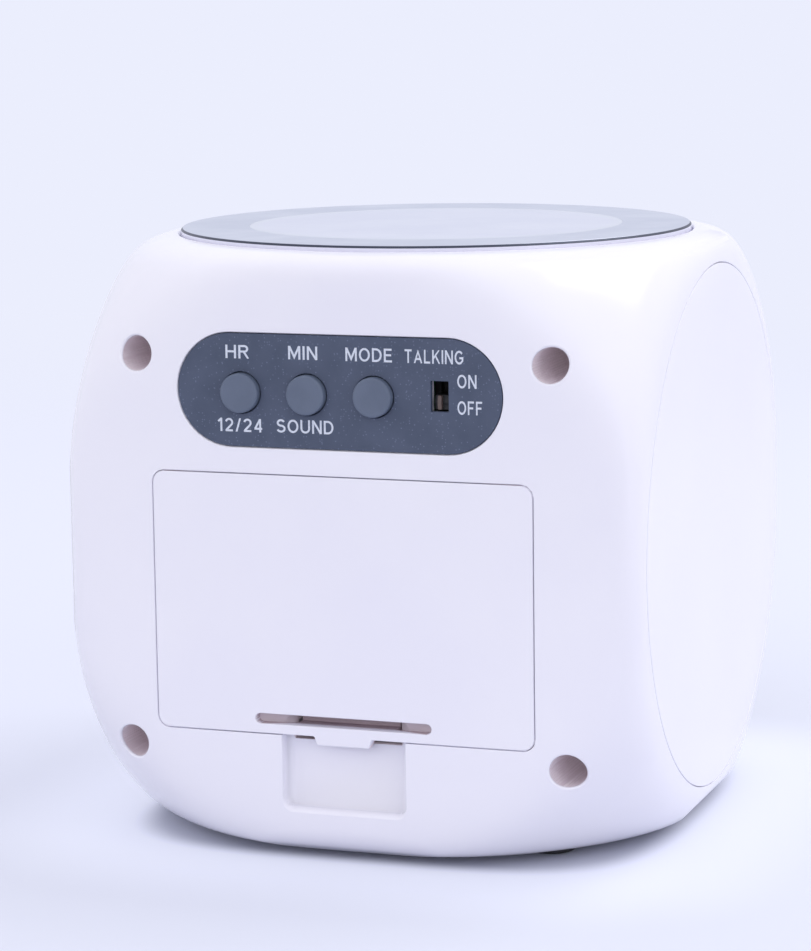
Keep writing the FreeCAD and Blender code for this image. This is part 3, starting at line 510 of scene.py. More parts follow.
def choose_finish(piece, kinds):
    piece.data.polygons.foreach_set("material_index", kinds.astype(np.int32))


# Depths past which faces take the painted shade and glow: less behind the door and down a well.
painted_shade_depth, painted_shade_behind_door, painted_shade_in_well, well_slack = 0.0028, 0.001, 0.0005, 0.0001


def deep_faces(piece, depth):
    """Which faces lie deeper in the housing than a depth, or than less behind the door or down a well: these
    take the painted shade and glow.
    """
    centres = read(piece.data.polygons, "center")
    from_door = np.abs(centres[:, (0, 2)] - (0, (door_top + door_foot) / 2))
    behind = (from_door < (door_half_width + seam_gap, (door_top - door_foot) / 2 + seam_gap)).all(axis=1)
    limit = np.where(behind & (centres[:, 1] > 0), min(depth, painted_shade_behind_door), depth)
    for middle in well_places:
        in_well = np.linalg.norm(centres[:, (0, 2)] - middle, axis=1) < well_radius + well_slack
        limit = np.where(in_well & (centres[:, 1] > well_floor), min(depth, painted_shade_in_well), limit)
    return form_value(centres) < 1 - limit / form_halves[0]


def use_moulding(piece, body, node):
    """The polished finish goes on the outside and round its rims, and a plainer one in the wells and within.
    That
    one is painted shade and painted glow: darker and warmer, and glowing faintly, for shade and light through
    the plastic."""
    use(piece, body, node, "housing_white", white_gloss, painted_shade_glow_within)
    choose_finish(piece, deep_faces(piece, painted_shade_depth))


white_gloss = finish("white_gloss", (241, 240, 250), (238, 237, 249), 35.0, 1400.0, 2.0e-6, (0.13, 0.2),
                     Specular_IOR_Level=0.55)
# Painted shade and painted glow: a darker, warmer white with a faint emission, for the wells, gaps and faces
# within.
painted_shade_glow_within = finish("painted_shade_glow_within", (214, 203, 211), (208, 196, 205), 90.0, 2600.0, 8e-6, (0.4, 0.55),
                      Emission_Color=shown(255, 236, 242), Emission_Strength=0.04)
use_moulding(rear_moulding, "clock_body", "rear_shell")

# Front shell: the display half, of the same moulding. Its pocket for the window and the slots that let
# the sound out of the underside are open in it, and it carries the posts that the case screws bite into.
pocket_radius, pocket_edge = 0.04095, 0.0003
front_rims = [rim("lens_pocket_rim", circle_outline(side_middle, pocket_radius, 240), 1, -1, pocket_edge, 1)]
front_moulding = moulding("front_moulding", "front_shell", form, front_rims + shared_cutters)
outer_normals(front_moulding)
use_moulding(front_moulding, "clock_body", "front_shell")

# Side covers: two round mouldings, flush in the sides of the housing, each held by four hooks behind it.
# A hairline joint with rounded edges runs round each.
cover_rims = []
for node, sign in (("right_side_cover", -1), ("left_side_cover", 1)):
    cover_outline = circle_outline(side_middle, cover_radius, 240)
    cover_rims.append(rim(node + "_rim", cover_outline, 0, sign, cover_edge, -1))
    cover = moulding(node.replace("cover", "moulding"), node, form, cover_rims[-1:])
    outer_normals(cover)
    use_moulding(cover, "clock_body", node)

# Battery door: a flush white moulding with a long finger slot near its foot. The strip below the slot
# springs, and carries the small tab and catch that hold the door shut over the finger recess.
tab_top, tab_end, tab_drop, tab_corner = 0.0047, 0.0042, 0.00135, 0.0003
slot_half_length, slot_foot, slot_top = 0.0143, 0.0217, 0.0233
door_edge, slot_edge, door_painted_shade_depth = 0.0002, 0.00018, 0.0008
slot_reach, slot_rise = 0.0003, 0.0009
door_corners = [(-door_half_width, door_foot), (-tab_top, door_foot), (-tab_end, door_foot - tab_drop),
                (tab_end, door_foot - tab_drop), (tab_top, door_foot), (door_half_width, door_foot),
                (door_half_width, door_top), (-door_half_width, door_top)]
door_radii = [door_corner] + [tab_corner] * 4 + [door_corner] * 3
slot_outline = round_ended(slot_half_length, slot_foot, slot_top, small_step)
door_rims = [rim("door_rim", rounded_outline(door_corners, door_radii, door_step), 1, 1, door_edge, -1),
             rim("door_slot_rim", slot_outline, 1, 1, slot_edge, 1)]
door_moulding = moulding("door_moulding", "battery_door", form, door_rims)
outer_normals(door_moulding)
# Painted shade: the deep faces inside the finger slot take a darker finish, for the shade in the slot.
slot_shade = finish("slot_shade", (192, 174, 182), (184, 166, 175), 90.0, 2600.0, 8e-6, (0.5, 0.65))
use(door_moulding, "door", "battery_door", "housing_white", white_gloss, painted_shade_glow_within, slot_shade)
from_slot = np.abs(read(door_moulding.data.polygons, "center")[:, (0, 2)] - (0, (slot_top + slot_foot) / 2))
in_slot = (from_slot < (slot_half_length + slot_reach, (slot_top - slot_foot) / 2 + slot_rise)).all(axis=1)
choose_finish(door_moulding, deep_faces(door_moulding, door_painted_shade_depth) * (1 + in_slot))

# Control panel: a stadium-shaped plate in the rear, painted slate with a fine light fleck. It has three
# round holes for the caps, a window for the slide switch, and plain printed legends.
panel_inset = 0.00012
cap_places, cap_z, cap_hole_radius = {"hour": 0.0156, "minute": 0.0049, "mode": -0.0058}, 0.0729, 0.0032
switch_x, switch_z, switch_half_width, switch_half_height = -0.0162, 0.0733, 0.0014, 0.0023
panel_edge, hole_edge, window_edge, window_corner = 0.00015, 0.00012, 0.0001, 0.0001


def recolour(tree, share, colour):
    """Blends the colour that a surface has so far into another by a share."""
    base = tree.nodes["Principled BSDF"].inputs["Base Color"]
    tree.links.new(tint(tree, share, base.links[0].from_socket, shown(*colour)), base)


def flecked(tree, scale, size, share, colour):
    """Adds round flecks: a spot in the middle of some of the cells of a random net, chosen by each cell's
    own colour."""
    place = add_node(tree, "TexCoord").outputs["Object"]
    net = add_node(tree, "TexVoronoi", {"Vector": place, "Scale": scale}).outputs
    chance = add_node(tree, "SeparateColor", {0: net["Color"]}).outputs[0]
    spot = between(tree, net["Distance"], size, size * 0.6)
    recolour(tree, product(tree, spot, between(tree, chance, 1 - share, 1 - share + 0.02)), colour)


panel_form = housing_form("panel_form", panel_inset)
panel_outline = round_ended(panel_half_width, panel_foot, panel_top, panel_step)
panel_rims = [rim("panel_rim", panel_outline, 1, 1, panel_edge, -1, panel_inset)]
for name, x in cap_places.items():
    hole = circle_outline((x, cap_z), cap_hole_radius, 64)
    panel_rims.append(rim(name + "_hole_rim", hole, 1, 1, hole_edge, 1, panel_inset))
window_corners = np.array(box_corners(switch_half_width, -switch_half_height, switch_half_height))
window_outline = rounded_outline(window_corners + (switch_x, switch_z), [window_corner] * 4, small_step)
panel_rims.append(rim("switch_window_rim", window_outline, 1, 1, window_edge, 1, panel_inset))
panel_plate = moulding("panel_plate", "control_panel", panel_form, panel_rims)
outer_normals(panel_plate, panel_inset)
panel_slate = finish("panel_slate", (75, 85, 108), (70, 80, 102), 220.0, 5200.0, 1.6e-5, (0.5, 0.62))
flecked(panel_slate.node_tree, 2300.0, 0.3, 0.45, (98, 109, 134))
use(panel_plate, "clock_body", "control_panel", "panel_slate", panel_slate)

legend_ink = finish("legend_ink", (218, 224, 238), (205, 212, 227), 2600.0, 6000.0, 4e-6, (0.45, 0.6))
legends = {"HR": (0.0180, 0.0142, 0.0781), "MIN": (0.0078, 0.0031, 0.0782),
           "MODE": (-0.0014, -0.00885, 0.0782), "TALKING": (-0.01075, -0.0200, 0.0782),
           "ON": (-0.0190, -0.0220, 0.07465), "OFF": (-0.0190, -0.0229, 0.0707),
           "12/24": (0.0196, 0.0122, 0.0669), "SOUND": (0.0099, 0.0007, 0.0670)}
legend_height, legend_lift, pen_half, letter_space = 0.00205, 0.00003, 0.075, 0.32


def bow(x, y, wide, high, start, end):
    """Points of an ellipse about a place, between two angles in degrees."""
    turn = np.radians(np.linspace(start, end, 2 + int(abs(end - start) / 15)))
    return np.stack([x + wide * np.cos(turn), y + high * np.sin(turn)], axis=-1)


def line(*parts):
    return np.concatenate([np.atleast_2d(part) for part in parts])


stem, head, sole = line((0, 0), (0, 1)), 1 - pen_half, pen_half
letter_lines = {
    "A": (0.68, [line((0, 0), (0.34, 0.92), (0.68, 0)), line((0.13, 0.31), (0.55, 0.31))]),
    "D": (0.62, [stem, line((0, head), bow(0.25, 0.5, 0.37, 0.425, 90, -90), (0, sole))]),
    "E": (0.52, [stem, line((0, head), (0.54, head)), line((0, 0.52), (0.5, 0.52)),
                 line((0, sole), (0.56, sole))]),
    "F": (0.50, [stem, line((0, head), (0.54, head)), line((0, 0.5), (0.46, 0.5))]),
    "G": (0.70, [line(bow(0.36, 0.5, 0.36, 0.425, 40, 318), (0.68, 0.26), (0.68, 0.46), (0.38, 0.46))]),
    "H": (0.62, [stem, stem + (0.62, 0), line((0, 0.51), (0.62, 0.51))]),
    "I": (0.0, [stem]),
    "K": (0.60, [stem, line((0.58, 1.02), (0.02, 0.37)), line((0.23, 0.6), (0.62, -0.02))]),
    "L": (0.48, [stem, line((0, sole), (0.52, sole))]),
    "M": (0.76, [stem, stem + (0.76, 0), line((0.02, 0.97), (0.38, 0.17), (0.74, 0.97))]),
    "N": (0.62, [stem, stem + (0.62, 0), line((0.02, 0.96), (0.60, 0.04))]),
    "O": (0.72, [bow(0.36, 0.5, 0.36, 0.425, 90, 450)]),
    "R": (0.60, [stem, line((0, head), bow(0.37, 0.722, 0.2, 0.203, 90, -90), (0, 0.519)),
                 line((0.32, 0.5), (0.62, -0.02))]),
    "S": (0.58, [line(bow(0.29, 0.722, 0.26, 0.203, 22, 262), bow(0.29, 0.297, 0.29, 0.222, 82, -160))]),
    "T": (0.60, [line((-0.04, head), (0.64, head)), stem + (0.30, 0)]),
    "U": (0.62, [line((0, 1), bow(0.31, 0.36, 0.31, 0.285, 180, 360), (0.62, 1))]),
    "1": (0.30, [stem + (0.26, 0), line((0.26, 0.95), (0.02, 0.73))]),
    "2": (0.52, [line(bow(0.26, 0.68, 0.25, 0.245, 168, -38), (0.03, 0.1)),
                 line((-0.03, sole), (0.55, sole))]),
    "4": (0.52, [stem + (0.42, 0), line((0.4, 0.95), (0.02, 0.27)), line((-0.03, 0.27), (0.58, 0.27))]),
    "/": (0.30, [line((0, -0.03), (0.3, 1.03))])}


def together(name, meshes):
    """Several meshes in one piece."""
    work = bmesh.new()
    for mesh in meshes:
        work.from_mesh(mesh)
    whole = bpy.data.meshes.new(name)
    work.to_mesh(whole)
    work.free()
    return link_piece(name, whole)


def legend(text, left, right, foot):
    """Printed capitals on the panel's face, fitted between two places across the rear and a foot line. Each
    stroke is a flat section carried along its line, mitred where the line bends, and cut level at the head
    and foot. Each lies a hair higher than the last, so that crossings stay clean."""
    reach, strokes = 0.0, []
    for letter in text:
        width, lines = letter_lines[letter]
        strokes += [part + (reach, 0) for part in lines]
        reach += width + letter_space
    whole = reach - letter_space + 2 * pen_half
    meshes = []
    for index, part in enumerate(strokes):
        step = np.diff(part, axis=0)
        side = np.stack([-step[:, 1], step[:, 0]], axis=-1) / np.linalg.norm(step, axis=1, keepdims=True)
        before, after = np.vstack([side[:1], side]), np.vstack([side, side[-1:]])
        mitre = (before + after) / (1 + (before * after).sum(axis=1, keepdims=True))
        edge = part[:, None] + pen_half * np.array([-1, -1, 1, 1])[:, None] * mitre[:, None]
        ends = [np.repeat(part[place, None], 4, axis=1) for place in (slice(1), slice(-1, None))]
        edge = np.concatenate([ends[0], edge, ends[1]])
        flat = np.stack([left + (edge[..., 0] + pen_half) / whole * (right - left),
                         foot + np.clip(edge[..., 1], 0, 1) * legend_height], axis=-1).reshape(-1, 2)
        lift = legend_lift * (np.array([-0.3, 0.7, 0.7, -0.3]) + 0.03 * index) * np.ones((len(edge), 1))
        lift[(0, -1), :] = 0.0
        height = form_height(flat, 1, panel_inset) + lift.ravel()
        points = np.insert(flat, 1, height, axis=1).reshape(-1, 4, 3)
        meshes.append(weld(quad_mesh("stroke", points, False, True)))
    piece = together("legend_" + text.replace("/", "_"), meshes)
    piece.data.materials.append(legend_ink)
    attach(piece, "clock_body")


for text, span in legends.items():
    legend(text, *span)

# Set buttons: three satin caps, each turned in one piece with the flange that keeps it behind the wall
# and the nose that presses its switch. The face has a rounded edge and a shallow dish.


def lathe(name, profile, axis, middle, steps=96):
    """A profile of (radius, height) pairs turned about an axis through a point, from pole to pole."""
    turn = np.linspace(0, 2 * math.pi, steps, endpoint=False)
    profile = np.array(profile)
    across = profile[:, None, 0] * np.cos(turn)
    along = profile[:, None, 0] * np.sin(turn)
    height = np.repeat(profile[:, 1:2], steps, axis=1)
    order = {"x": (height, across, along), "y": (across, height, along), "z": (across, along, height)}[axis]
    points = np.stack(order, axis=-1) + np.array(middle)
    return link_piece(name, smooth(weld(quad_mesh(name, points, False, True))))


def arc(middle, radius, start, end, steps=6):
    """Points of an arc between two angles in degrees, for a profile."""
    turn = np.radians(np.linspace(start, end, steps))
    return [(middle[0] + radius * math.cos(t), middle[1] + radius * math.sin(t)) for t in turn]


cap_radius, cap_round, cap_dish, cap_border, cap_level = 0.00305, 0.00035, 0.00006, 0.0007, 0.00055
cap_face, cap_flange_face, cap_back, cap_nose_end = 0.0477, 0.04435, 0.04345, 0.04265
flange_radius, nose_radius = 0.00405, 0.002
cap_satin = finish("cap_satin", (98, 109, 130), (93, 104, 125), 260.0, 5200.0, 1.4e-5, (0.42, 0.52))
dish = [(share * (cap_radius - cap_border), cap_face - cap_dish * (1 - share ** 2))
        for share in np.linspace(0, 1, 8)]
cap_profile = dish + [(cap_radius - cap_level, cap_face)]
cap_profile += arc((cap_radius - cap_round, cap_face - cap_round), cap_round, 90, 0)
cap_profile += [(cap_radius, cap_flange_face), (flange_radius, cap_flange_face), (flange_radius, cap_back),
                (nose_radius, cap_back), (nose_radius, cap_nose_end), (0.0, cap_nose_end)]
for name, x in cap_places.items():
    cap = lathe(name + "_cap", cap_profile, "y", (x, 0, cap_z))
    use(cap, name + "_key", name + "_button", "cap_grey", cap_satin)

# Slide switch: a small black slider with a narrow brown fin, deep in the panel's window. It rests at OFF,
# at the lower end of its two millimetres of travel.
slider_half, slider_face, slider_back, slider_ridge = (0.00115, 0.0011), 0.0453, 0.0408, 0.00012
fin_half, fin_face, fin_foot, fin_aside, fin_ridge = (0.0003, 0.00105), 0.0460, 0.0449, 0.0002, 0.00008
slider_middle = (switch_x, 0.0723)
block_power, block_sides, face_rings = 8.0, 64, 14


def ridged_block(name, half, middle, back, face, ridge, count):
    """A block with rounded corners: its outline is a circle of the power block_power, and its face rises
    and falls across its height as a cosine of so many ridges."""
    turn = np.linspace(0, 2 * math.pi, block_sides, endpoint=False)
    reach = (np.abs(np.cos(turn)) ** block_power + np.abs(np.sin(turn)) ** block_power) ** (-1 / block_power)
    outline = np.stack([reach * np.cos(turn) * half[0], reach * np.sin(turn) * half[1]], axis=-1)
    shares = np.concatenate([[0.0, 1.0, 1.0], np.linspace(0.97, 0, face_rings)])
    depths = np.concatenate([[back, back, face - ridge * 2], np.full(face_rings, face)])
    flat = shares[:, None, None] * outline[None]
    wave = np.cos(flat[..., 1] / half[1] * math.pi * count)
    height = depths[:, None] + np.where(np.arange(len(shares))[:, None] > 2, ridge * (wave - 1) / 2, 0)
    points = np.stack([flat[..., 0] + middle[0], height, flat[..., 1] + middle[1]], axis=-1)
    return link_piece(name, smooth(weld(quad_mesh(name, points, False, True)), 50))


switch_black = finish("switch_black", (34, 33, 36), (27, 27, 30), 400.0, 4200.0, 1.2e-5, (0.4, 0.55))
slider_brown = finish("slider_brown", (104, 88, 84), (88, 74, 72), 500.0, 4200.0, 1.2e-5, (0.35, 0.45))
slider_block = ridged_block("slider_block", slider_half, slider_middle, slider_back, slider_face,
                            slider_ridge, 2)
use(slider_block, "voice_slider", "talking_slider", "switch_black", switch_black)
fin_middle = (slider_middle[0] + fin_aside, slider_middle[1])
slider_fin = ridged_block("slider_fin", fin_half, fin_middle, fin_foot, fin_face, fin_ridge, 1)
slider_fin.data.materials.append(slider_brown)
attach(slider_fin, "voice_slider")

# Talk plate: the round plate on the roof that is pressed to hear the time. It is coated in satin silver down
# to its skirt, with a flush frosted disc in its middle. Below the silver, the skirt has a band of painted
# shade, then a pale band.
plate_radius, inlay_radius, plate_top, plate_edge = 0.0412, 0.030, 0.095, 0.00015
painted_shade_top, painted_shade_top_blend, painted_shade_foot, painted_shade_foot_blend = 0.09494, 0.00002, 0.09464, 0.00004
frost_start, frost_end, silver_tone = 0.0278, 0.0301, (200, 205, 217)


def dress(node, material):
    """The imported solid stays, with a finish of its own."""
    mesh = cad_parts[node].data
    mesh.materials.clear()
    mesh.materials.append(material)


def axis_distance(tree):
    """How far a place lies from the upright axis."""
    place = add_node(tree, "TexCoord").outputs["Object"]
    flat = add_node(tree, "VectorMath", {0: place, 1: (1.0, 1.0, 0.0)}, operation="MULTIPLY").outputs[0]
    return add_node(tree, "VectorMath", {0: flat}, operation="LENGTH").outputs["Value"]


def spun(tree, scale):
    """Adds the faint rings of a turned face: noise read along the distance from the axis alone."""
    feeds = {"W": axis_distance(tree), "Scale": scale, "Detail": 4.0}
    rings = add_node(tree, "TexNoise", feeds, noise_dimensions="1D").outputs[0]
    relief = add_node(tree, "Math", {0: tree.nodes["skin"].outputs["Height"], 1: rings}, operation="ADD")
    tree.links.new(relief.outputs[0], tree.nodes["Bump"].inputs["Height"])


plate_rims = [rim("plate_rim", circle_outline((0, 0), plate_radius, 240), 2, 1, plate_edge, -1,
                  level=plate_top - form_middle)]
silver_plate = moulding("silver_plate", "talk_plate", None, plate_rims)
smooth(silver_plate.data)
level_faces = np.abs(read(silver_plate.data.polygons, "normal")[:, 2]) > 0.999
silver_plate.data.polygons.foreach_set("use_smooth", ~level_faces)

satin_silver = finish("satin_silver", silver_tone, (194, 199, 212), 90.0, 3000.0, 1.5e-6, (0.34, 0.42),
                      Metallic=0.55)
satin = satin_silver.node_tree
spun(satin, 5000.0)
satin_height = add_node(satin, "SeparateXYZ", {0: add_node(satin, "TexCoord").outputs["Object"]}).outputs["Z"]
# Painted shade: the skirt turns dark below the silver, for the shadowed gap under the plate's edge, then pale
# again lower down.
recolour(satin, between(satin, satin_height, painted_shade_top + painted_shade_top_blend, painted_shade_top), (66, 70, 84))
recolour(satin, between(satin, satin_height, painted_shade_foot, painted_shade_foot - painted_shade_foot_blend), (236, 235, 247))
use(silver_plate, "talk_press", "talk_plate", "silver", satin_silver)

inlay_frost = finish("inlay_frost", (202, 206, 221), (199, 203, 219), 60.0, 2600.0, 5e-6, (0.34, 0.42))
frost = inlay_frost.node_tree
recolour(frost, between(frost, axis_distance(frost), frost_start, frost_end), silver_tone)
inlay_edge, inlay_round, inlay_foot = inlay_radius + seam_gap - 0.00001, 0.00003, plate_top - 0.0008
inlay_profile = [(share * (inlay_edge - inlay_round), plate_top) for share in np.linspace(0, 1, 12)]
inlay_profile += [(inlay_edge, plate_top - inlay_round), (inlay_edge, inlay_foot), (0.0, inlay_foot)]
frosted_disc = lathe("frosted_disc", inlay_profile, "z", (0, 0, 0), 192)
use(frosted_disc, "talk_press", "talk_inlay", "inlay_white", inlay_frost)

# Display side: a clear round window, a black printed mask behind it, and the liquid crystal panel with
# its plain figures, held by a frame with a frosted light guide and two soft contact strips.
lens_radius, lens_face, lens_back, lens_round = 0.0408, -0.0477, -0.0445, 0.0010
lens_profile = [(share * (lens_radius - lens_round), lens_back) for share in (0, 0.5, 1)]
lens_profile += [(lens_radius, lens_back)]
lens_profile += arc((lens_radius - lens_round, lens_face + lens_round), lens_round, 0, -90, 8)
lens_profile += [(lens_radius / 2, lens_face), (0.0, lens_face)]
window_clear = finish("window_clear", (250, 252, 255), (246, 250, 254), 25.0, 900.0, 4e-7, (0.02, 0.04),
                      Transmission_Weight=1.0, IOR=1.49)
window_disc = lathe("window_disc", lens_profile, "y", (0, 0, form_middle), 240)
use(window_disc, "clock_body", "front_lens", "window_clear", window_clear)
mask_black = finish("mask_black", (24, 25, 30), (19, 20, 25), 40.0, 3000.0, 2e-6, (0.25, 0.35))
lcd_grey = finish("lcd_grey", (176, 188, 180), (169, 182, 174), 50.0, 9000.0, 2e-6, (0.22, 0.3))
holder_white = finish("holder_white", (226, 226, 226), (219, 219, 220), 120.0, 2600.0, 8e-6, (0.45, 0.6))
guide_clear = finish("guide_clear", (226, 233, 240), (219, 227, 236), 200.0, 2000.0, 1e-5, (0.35, 0.5),
                     Transmission_Weight=0.5, IOR=1.49)
strip_rubber = finish("strip_rubber", (222, 190, 184), (60, 50, 50), 3000.0, 4000.0, 1e-5, (0.6, 0.75))
for node, material in (("dial_mask", mask_black), ("lcd_glass", lcd_grey), ("lcd_holder", holder_white),
                       ("top_deck", holder_white), ("backlight_guide", guide_clear),
                       ("contact_strips", strip_rubber)):
    dress(node, material)

figure_ink = finish("figure_ink", (38, 42, 44), (32, 36, 38), 300.0, 5000.0, 2e-6, (0.3, 0.4))
figure_face, figure_height, figure_width, figure_stroke = -0.04376, 0.0175, 0.0080, 0.0016
figure_lean, bar_gap, ink_over, ink_under = 0.08, 0.00015, 0.00002, 0.00003
figures = (("1", -0.0250), ("2", -0.0134), ("3", 0.0030), ("0", 0.0146))
lit_bars = {"0": "abcdef", "1": "bc", "2": "abged", "3": "abgcd"}
rungs = {"a": ((0, 2), (1, 2)), "b": ((1, 1), (1, 2)), "c": ((1, 0), (1, 1)), "d": ((0, 0), (1, 0)),
         "e": ((0, 0), (0, 1)), "f": ((0, 1), (0, 2)), "g": ((0, 1), (1, 1))}
dot_half, dot_x, dot_lean, dot_rise = 0.0009, -0.0012, 0.0004, 0.0035


def display_bar(bar, start):
    """One bar of a seven-bar figure: a six-sided outline along one edge of a two-square ladder, leaning a
    little."""
    half = figure_height / 2
    ends = np.array(rungs[bar], float) * (figure_width, half) + (0, -half)
    along = (ends[1] - ends[0]) / np.linalg.norm(ends[1] - ends[0])
    side = np.array([-along[1], along[0]]) * figure_stroke / 2
    tips = ends[0] + along * bar_gap, ends[1] - along * bar_gap
    inner = tips[0] + along * figure_stroke / 2, tips[1] - along * figure_stroke / 2
    outline = np.array([tips[0], inner[0] + side, inner[1] + side, tips[1], inner[1] - side, inner[0] - side])
    outline[:, 0] += outline[:, 1] * figure_lean
    return outline + (start, form_middle)


def flat_plate(outline):
    """A thin plate of ink over an outline across the display."""
    rows = [np.insert(outline, 1, depth, axis=1)
            for depth in (figure_face - ink_over, figure_face + ink_under)]
    count = len(outline)
    ends = [list(range(count)), list(range(2 * count - 1, count - 1, -1))]
    sides = [[step, count + step, count + (step + 1) % count, (step + 1) % count] for step in range(count)]
    return weld(face_mesh("bar", rows, ends + sides))


bars = [display_bar(bar, start) for figure, start in figures for bar in lit_bars[figure]]
bars += [np.array(box_corners(dot_half, -dot_half, dot_half))
         + (dot_x + sign * dot_lean, form_middle + sign * dot_rise) for sign in (-1, 1)]
clock_figures = together("clock_figures", [flat_plate(outline) for outline in bars])
clock_figures.data.materials.append(figure_ink)
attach(clock_figures, "clock_body")

# Boards: green laminate with tinned pads and buried tracks. The main one carries the chip under a black
# drop. Small ones carry the press switches under the caps and the talk plate, and the slide switch.
board_green = finish("board_green", (28, 98, 58), (22, 88, 52), 120.0, 3000.0, 6e-6, (0.25, 0.4))
board = board_green.node_tree
board_net = {"Vector": add_node(board, "TexCoord").outputs["Object"], "Scale": 260.0}
tracks = add_node(board, "TexVoronoi", board_net, feature="DISTANCE_TO_EDGE").outputs["Distance"]
pads = add_node(board, "TexVoronoi", board_net).outputs["Distance"]
recolour(board, between(board, tracks, 0.09, 0.06), (46, 128, 78))
recolour(board, between(board, pads, 0.2, 0.16), (196, 198, 200))
chip_black = finish("chip_black", (22, 22, 24), (28, 28, 30), 300.0, 2000.0, 1e-5, (0.2, 0.32))
plunger_grey = finish("plunger_grey", (150, 150, 152), (140, 140, 144), 300.0, 3000.0, 8e-6, (0.4, 0.5))
tinned_steel = finish("tinned_steel", (198, 199, 202), (186, 187, 191), 300.0, 2600.0, 4e-6, (0.28, 0.4),
                      Metallic=1.0)
for material, kind, names in ((board_green, "board", ("main", "talk", "key")),
                              (switch_black, "switch", ("talk", "hour", "minute", "mode", "talking")),
                              (plunger_grey, "plunger", ("talk", "hour", "minute", "mode")),
                              (tinned_steel, "screws", ("main_board", "key_board", "talk_board", "case"))):
    for name in names:
        dress(name + "_" + kind, material)
dress("chip_cover", chip_black)

# Springs: three straight coils under the talk plate, which close up as it is pressed, and a tapered coil
# at the flat end of each cell, on nickel-plated contact plates in the bay's end walls.
cell_y, cell_pitch, door_middle, cell_end = 0.03915, 0.011, 0.0403, 0.0256
plate_under, cup_floor = 0.0932, 0.0857
talk_wire, talk_coil_radius, talk_ring, talk_turns = 0.00022, 0.0028, 0.028, 7
cell_wire, cell_coil_radii, cell_coil_length, cell_turns = 0.0003, (0.0034, 0.002), 0.0067, 5
steps_per_turn, wire_sides, closed_turns = 28, 10, 0.75


def coil(start, along, across, radii, length, turns, wire):
    """Wire along a helix: the radius runs from the first to the second, with a closed turn at either end."""
    steps = np.linspace(0, 1, turns * steps_per_turn + 1)
    climb = np.clip((steps * turns - closed_turns) / (turns - 2 * closed_turns), 0, 1)
    rise = wire + climb * (length - 2 * wire)
    radius = radii[0] - wire + (radii[1] - radii[0]) * climb
    turn = 2 * math.pi * turns * steps
    along, across = np.array(along, float), np.array(across, float)
    outward = np.cos(turn)[:, None] * across + np.sin(turn)[:, None] * np.cross(along, across)
    route = np.array(start) + radius[:, None] * outward + rise[:, None] * along
    ring = np.linspace(0, 2 * math.pi, wire_sides, endpoint=False)[None, :, None]
    points = route[:, None] + wire * (np.cos(ring) * outward[:, None] + np.sin(ring) * along)
    tips = [np.repeat(route[place, None], wire_sides, axis=1) for place in (slice(1), slice(-1, None))]
    return smooth(weld(quad_mesh("coil", np.concatenate([tips[0], points, tips[1]]), False, True)), 60)


spring_steel = finish("spring_steel", (206, 207, 212), (194, 195, 201), 200.0, 2600.0, 3e-6, (0.2, 0.32),
                      Metallic=1.0)
talk_turned = np.radians((60, 180, 300))
talk_feet = [(talk_ring * math.cos(turn), talk_ring * math.sin(turn), cup_floor) for turn in talk_turned]
talk_coils = together("talk_coils", [coil(foot, (0, 0, 1), (1, 0, 0), (talk_coil_radius,) * 2,
                                          plate_under - cup_floor, talk_turns, talk_wire)
                                     for foot in talk_feet])
use(talk_coils, "clock_body", "talk_springs", "spring_steel", spring_steel)
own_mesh(talk_coils)
cell_rows = [(name, side, door_middle + rise * cell_pitch)
             for name, side, rise in (("upper", 1, 1), ("middle", -1, 0), ("lower", 1, -1))]
cell_coils = [coil((-side * cell_end, cell_y, z), (side, 0, 0), (0, 1, 0), cell_coil_radii, cell_coil_length,
                   cell_turns, cell_wire) for name, side, z in cell_rows]
use(together("cell_coils", cell_coils), "clock_body", "contact_springs", "spring_steel", spring_steel)
dress("contact_plates", spring_steel)

# Cells: three AAA cells side by side, pointing in turn to either side. Each is a steel can with a plain
# two-tone sleeve, rolled shoulders, a flat end and a raised contact.
cell_radius, cell_length, nub_radius, nub_length = 0.00525, 0.0445, 0.0026, 0.001
heel_round, shoulder_round, nub_round, band_length = 0.0006, 0.0008, 0.0003, 0.011
shoulder = cell_length - nub_length
cell_profile = [(0.0, 0.0), (0.0036, 0.0), (0.0038, 0.0002), (0.0046, 0.0002)]
cell_profile += arc((cell_radius - heel_round, heel_round + 0.0002), heel_round, -90, 0)
cell_profile += [(cell_radius, share) for share in np.linspace(0.002, shoulder - 0.0012, 9)]
cell_profile += arc((cell_radius - shoulder_round, shoulder - shoulder_round), shoulder_round, 0, 90)
cell_profile += [(nub_radius + 0.0006, shoulder), (nub_radius + 0.0001, shoulder)]
cell_profile += arc((nub_radius - nub_round, cell_length - nub_round), nub_round, 0, 90, 4)
cell_profile += [(0.0, cell_length)]
sleeve_dark = finish("sleeve_dark", (52, 58, 72), (46, 52, 66), 100.0, 2600.0, 2e-6, (0.2, 0.3))
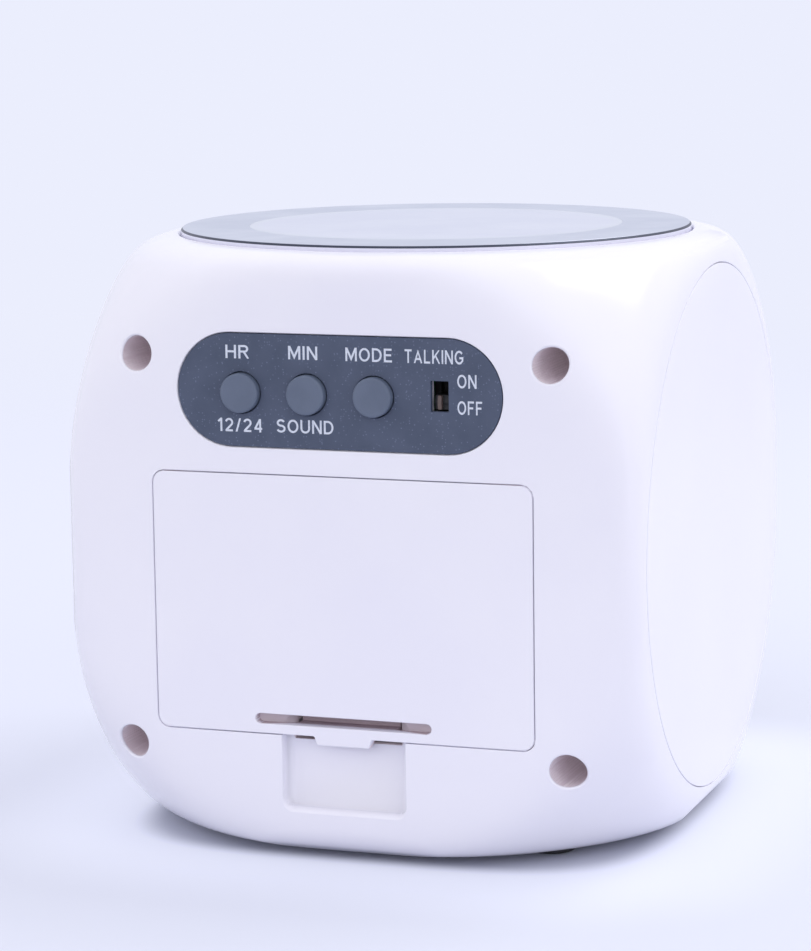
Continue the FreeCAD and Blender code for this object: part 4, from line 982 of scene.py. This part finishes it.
sleeve_band = finish("sleeve_band", (196, 150, 92), (186, 140, 84), 100.0, 2600.0, 2e-6, (0.22, 0.3),
                     Metallic=0.7)
for name, side, z in cell_rows:
    profile = [(radius, side * (height - cell_length + cell_end)) for radius, height in cell_profile]
    cell = lathe(name + "_cell", profile, "x", (0, cell_y, z), 64)
    use(cell, "clock_body", "aaa_cell_" + name, "cell_wrap", sleeve_dark, sleeve_band, tinned_steel)
    middles = read(cell.data.polygons, "center") - (0, cell_y, z)
    height = side * middles[:, 0] - cell_end + cell_length
    bare = (np.hypot(middles[:, 1], middles[:, 2]) < cell_radius - 0.0005) | (height < 0.0004)
    choose_finish(cell, np.where(bare, 2, np.where(height > cell_length - band_length, 1, 0)))

# Speaker: a pressed steel basket with a black paper cone, which faces the slots in the underside, and a
# plated magnet cup on its back.
speaker_steel = finish("speaker_steel", (176, 177, 180), (164, 165, 169), 160.0, 2600.0, 5e-6, (0.3, 0.45),
                       Metallic=1.0)
speaker_paper = finish("speaker_paper", (50, 48, 47), (42, 41, 41), 500.0, 3000.0, 3e-5, (0.7, 0.85))
dress("speaker_frame", speaker_steel)
dress("speaker_magnet", speaker_steel)
dress("speaker_cone", speaker_paper)

# Feet: four small black rubber pads, each glued in a shallow pocket of the underside.
foot_radius, foot_top, foot_round, foot_offset = 0.004, 0.0016, 0.0004, 0.027
foot_profile = [(0.0, 0.0), (foot_radius * 0.6, 0.0)]
foot_profile += arc((foot_radius - foot_round, foot_round), foot_round, -90, 0)
foot_profile += [(foot_radius, foot_top), (0.0, foot_top)]
foot_rubber = finish("foot_rubber", (48, 48, 52), (42, 42, 46), 300.0, 2600.0, 2e-5, (0.6, 0.75))
for end, y in (("front", -foot_offset), ("rear", foot_offset)):
    for side, x in (("right", -foot_offset), ("left", foot_offset)):
        pad = lathe("pad_%s_%s" % (end, side), foot_profile, "z", (x, y, 0), 48)
        use(pad, "clock_body", "foot_%s_%s" % (end, side), "foot_rubber", foot_rubber)

for cutter in (rear_rims + shared_cutters + front_rims + cover_rims + door_rims + panel_rims + plate_rims
               + [form, panel_form]):
    bpy.data.objects.remove(cutter)
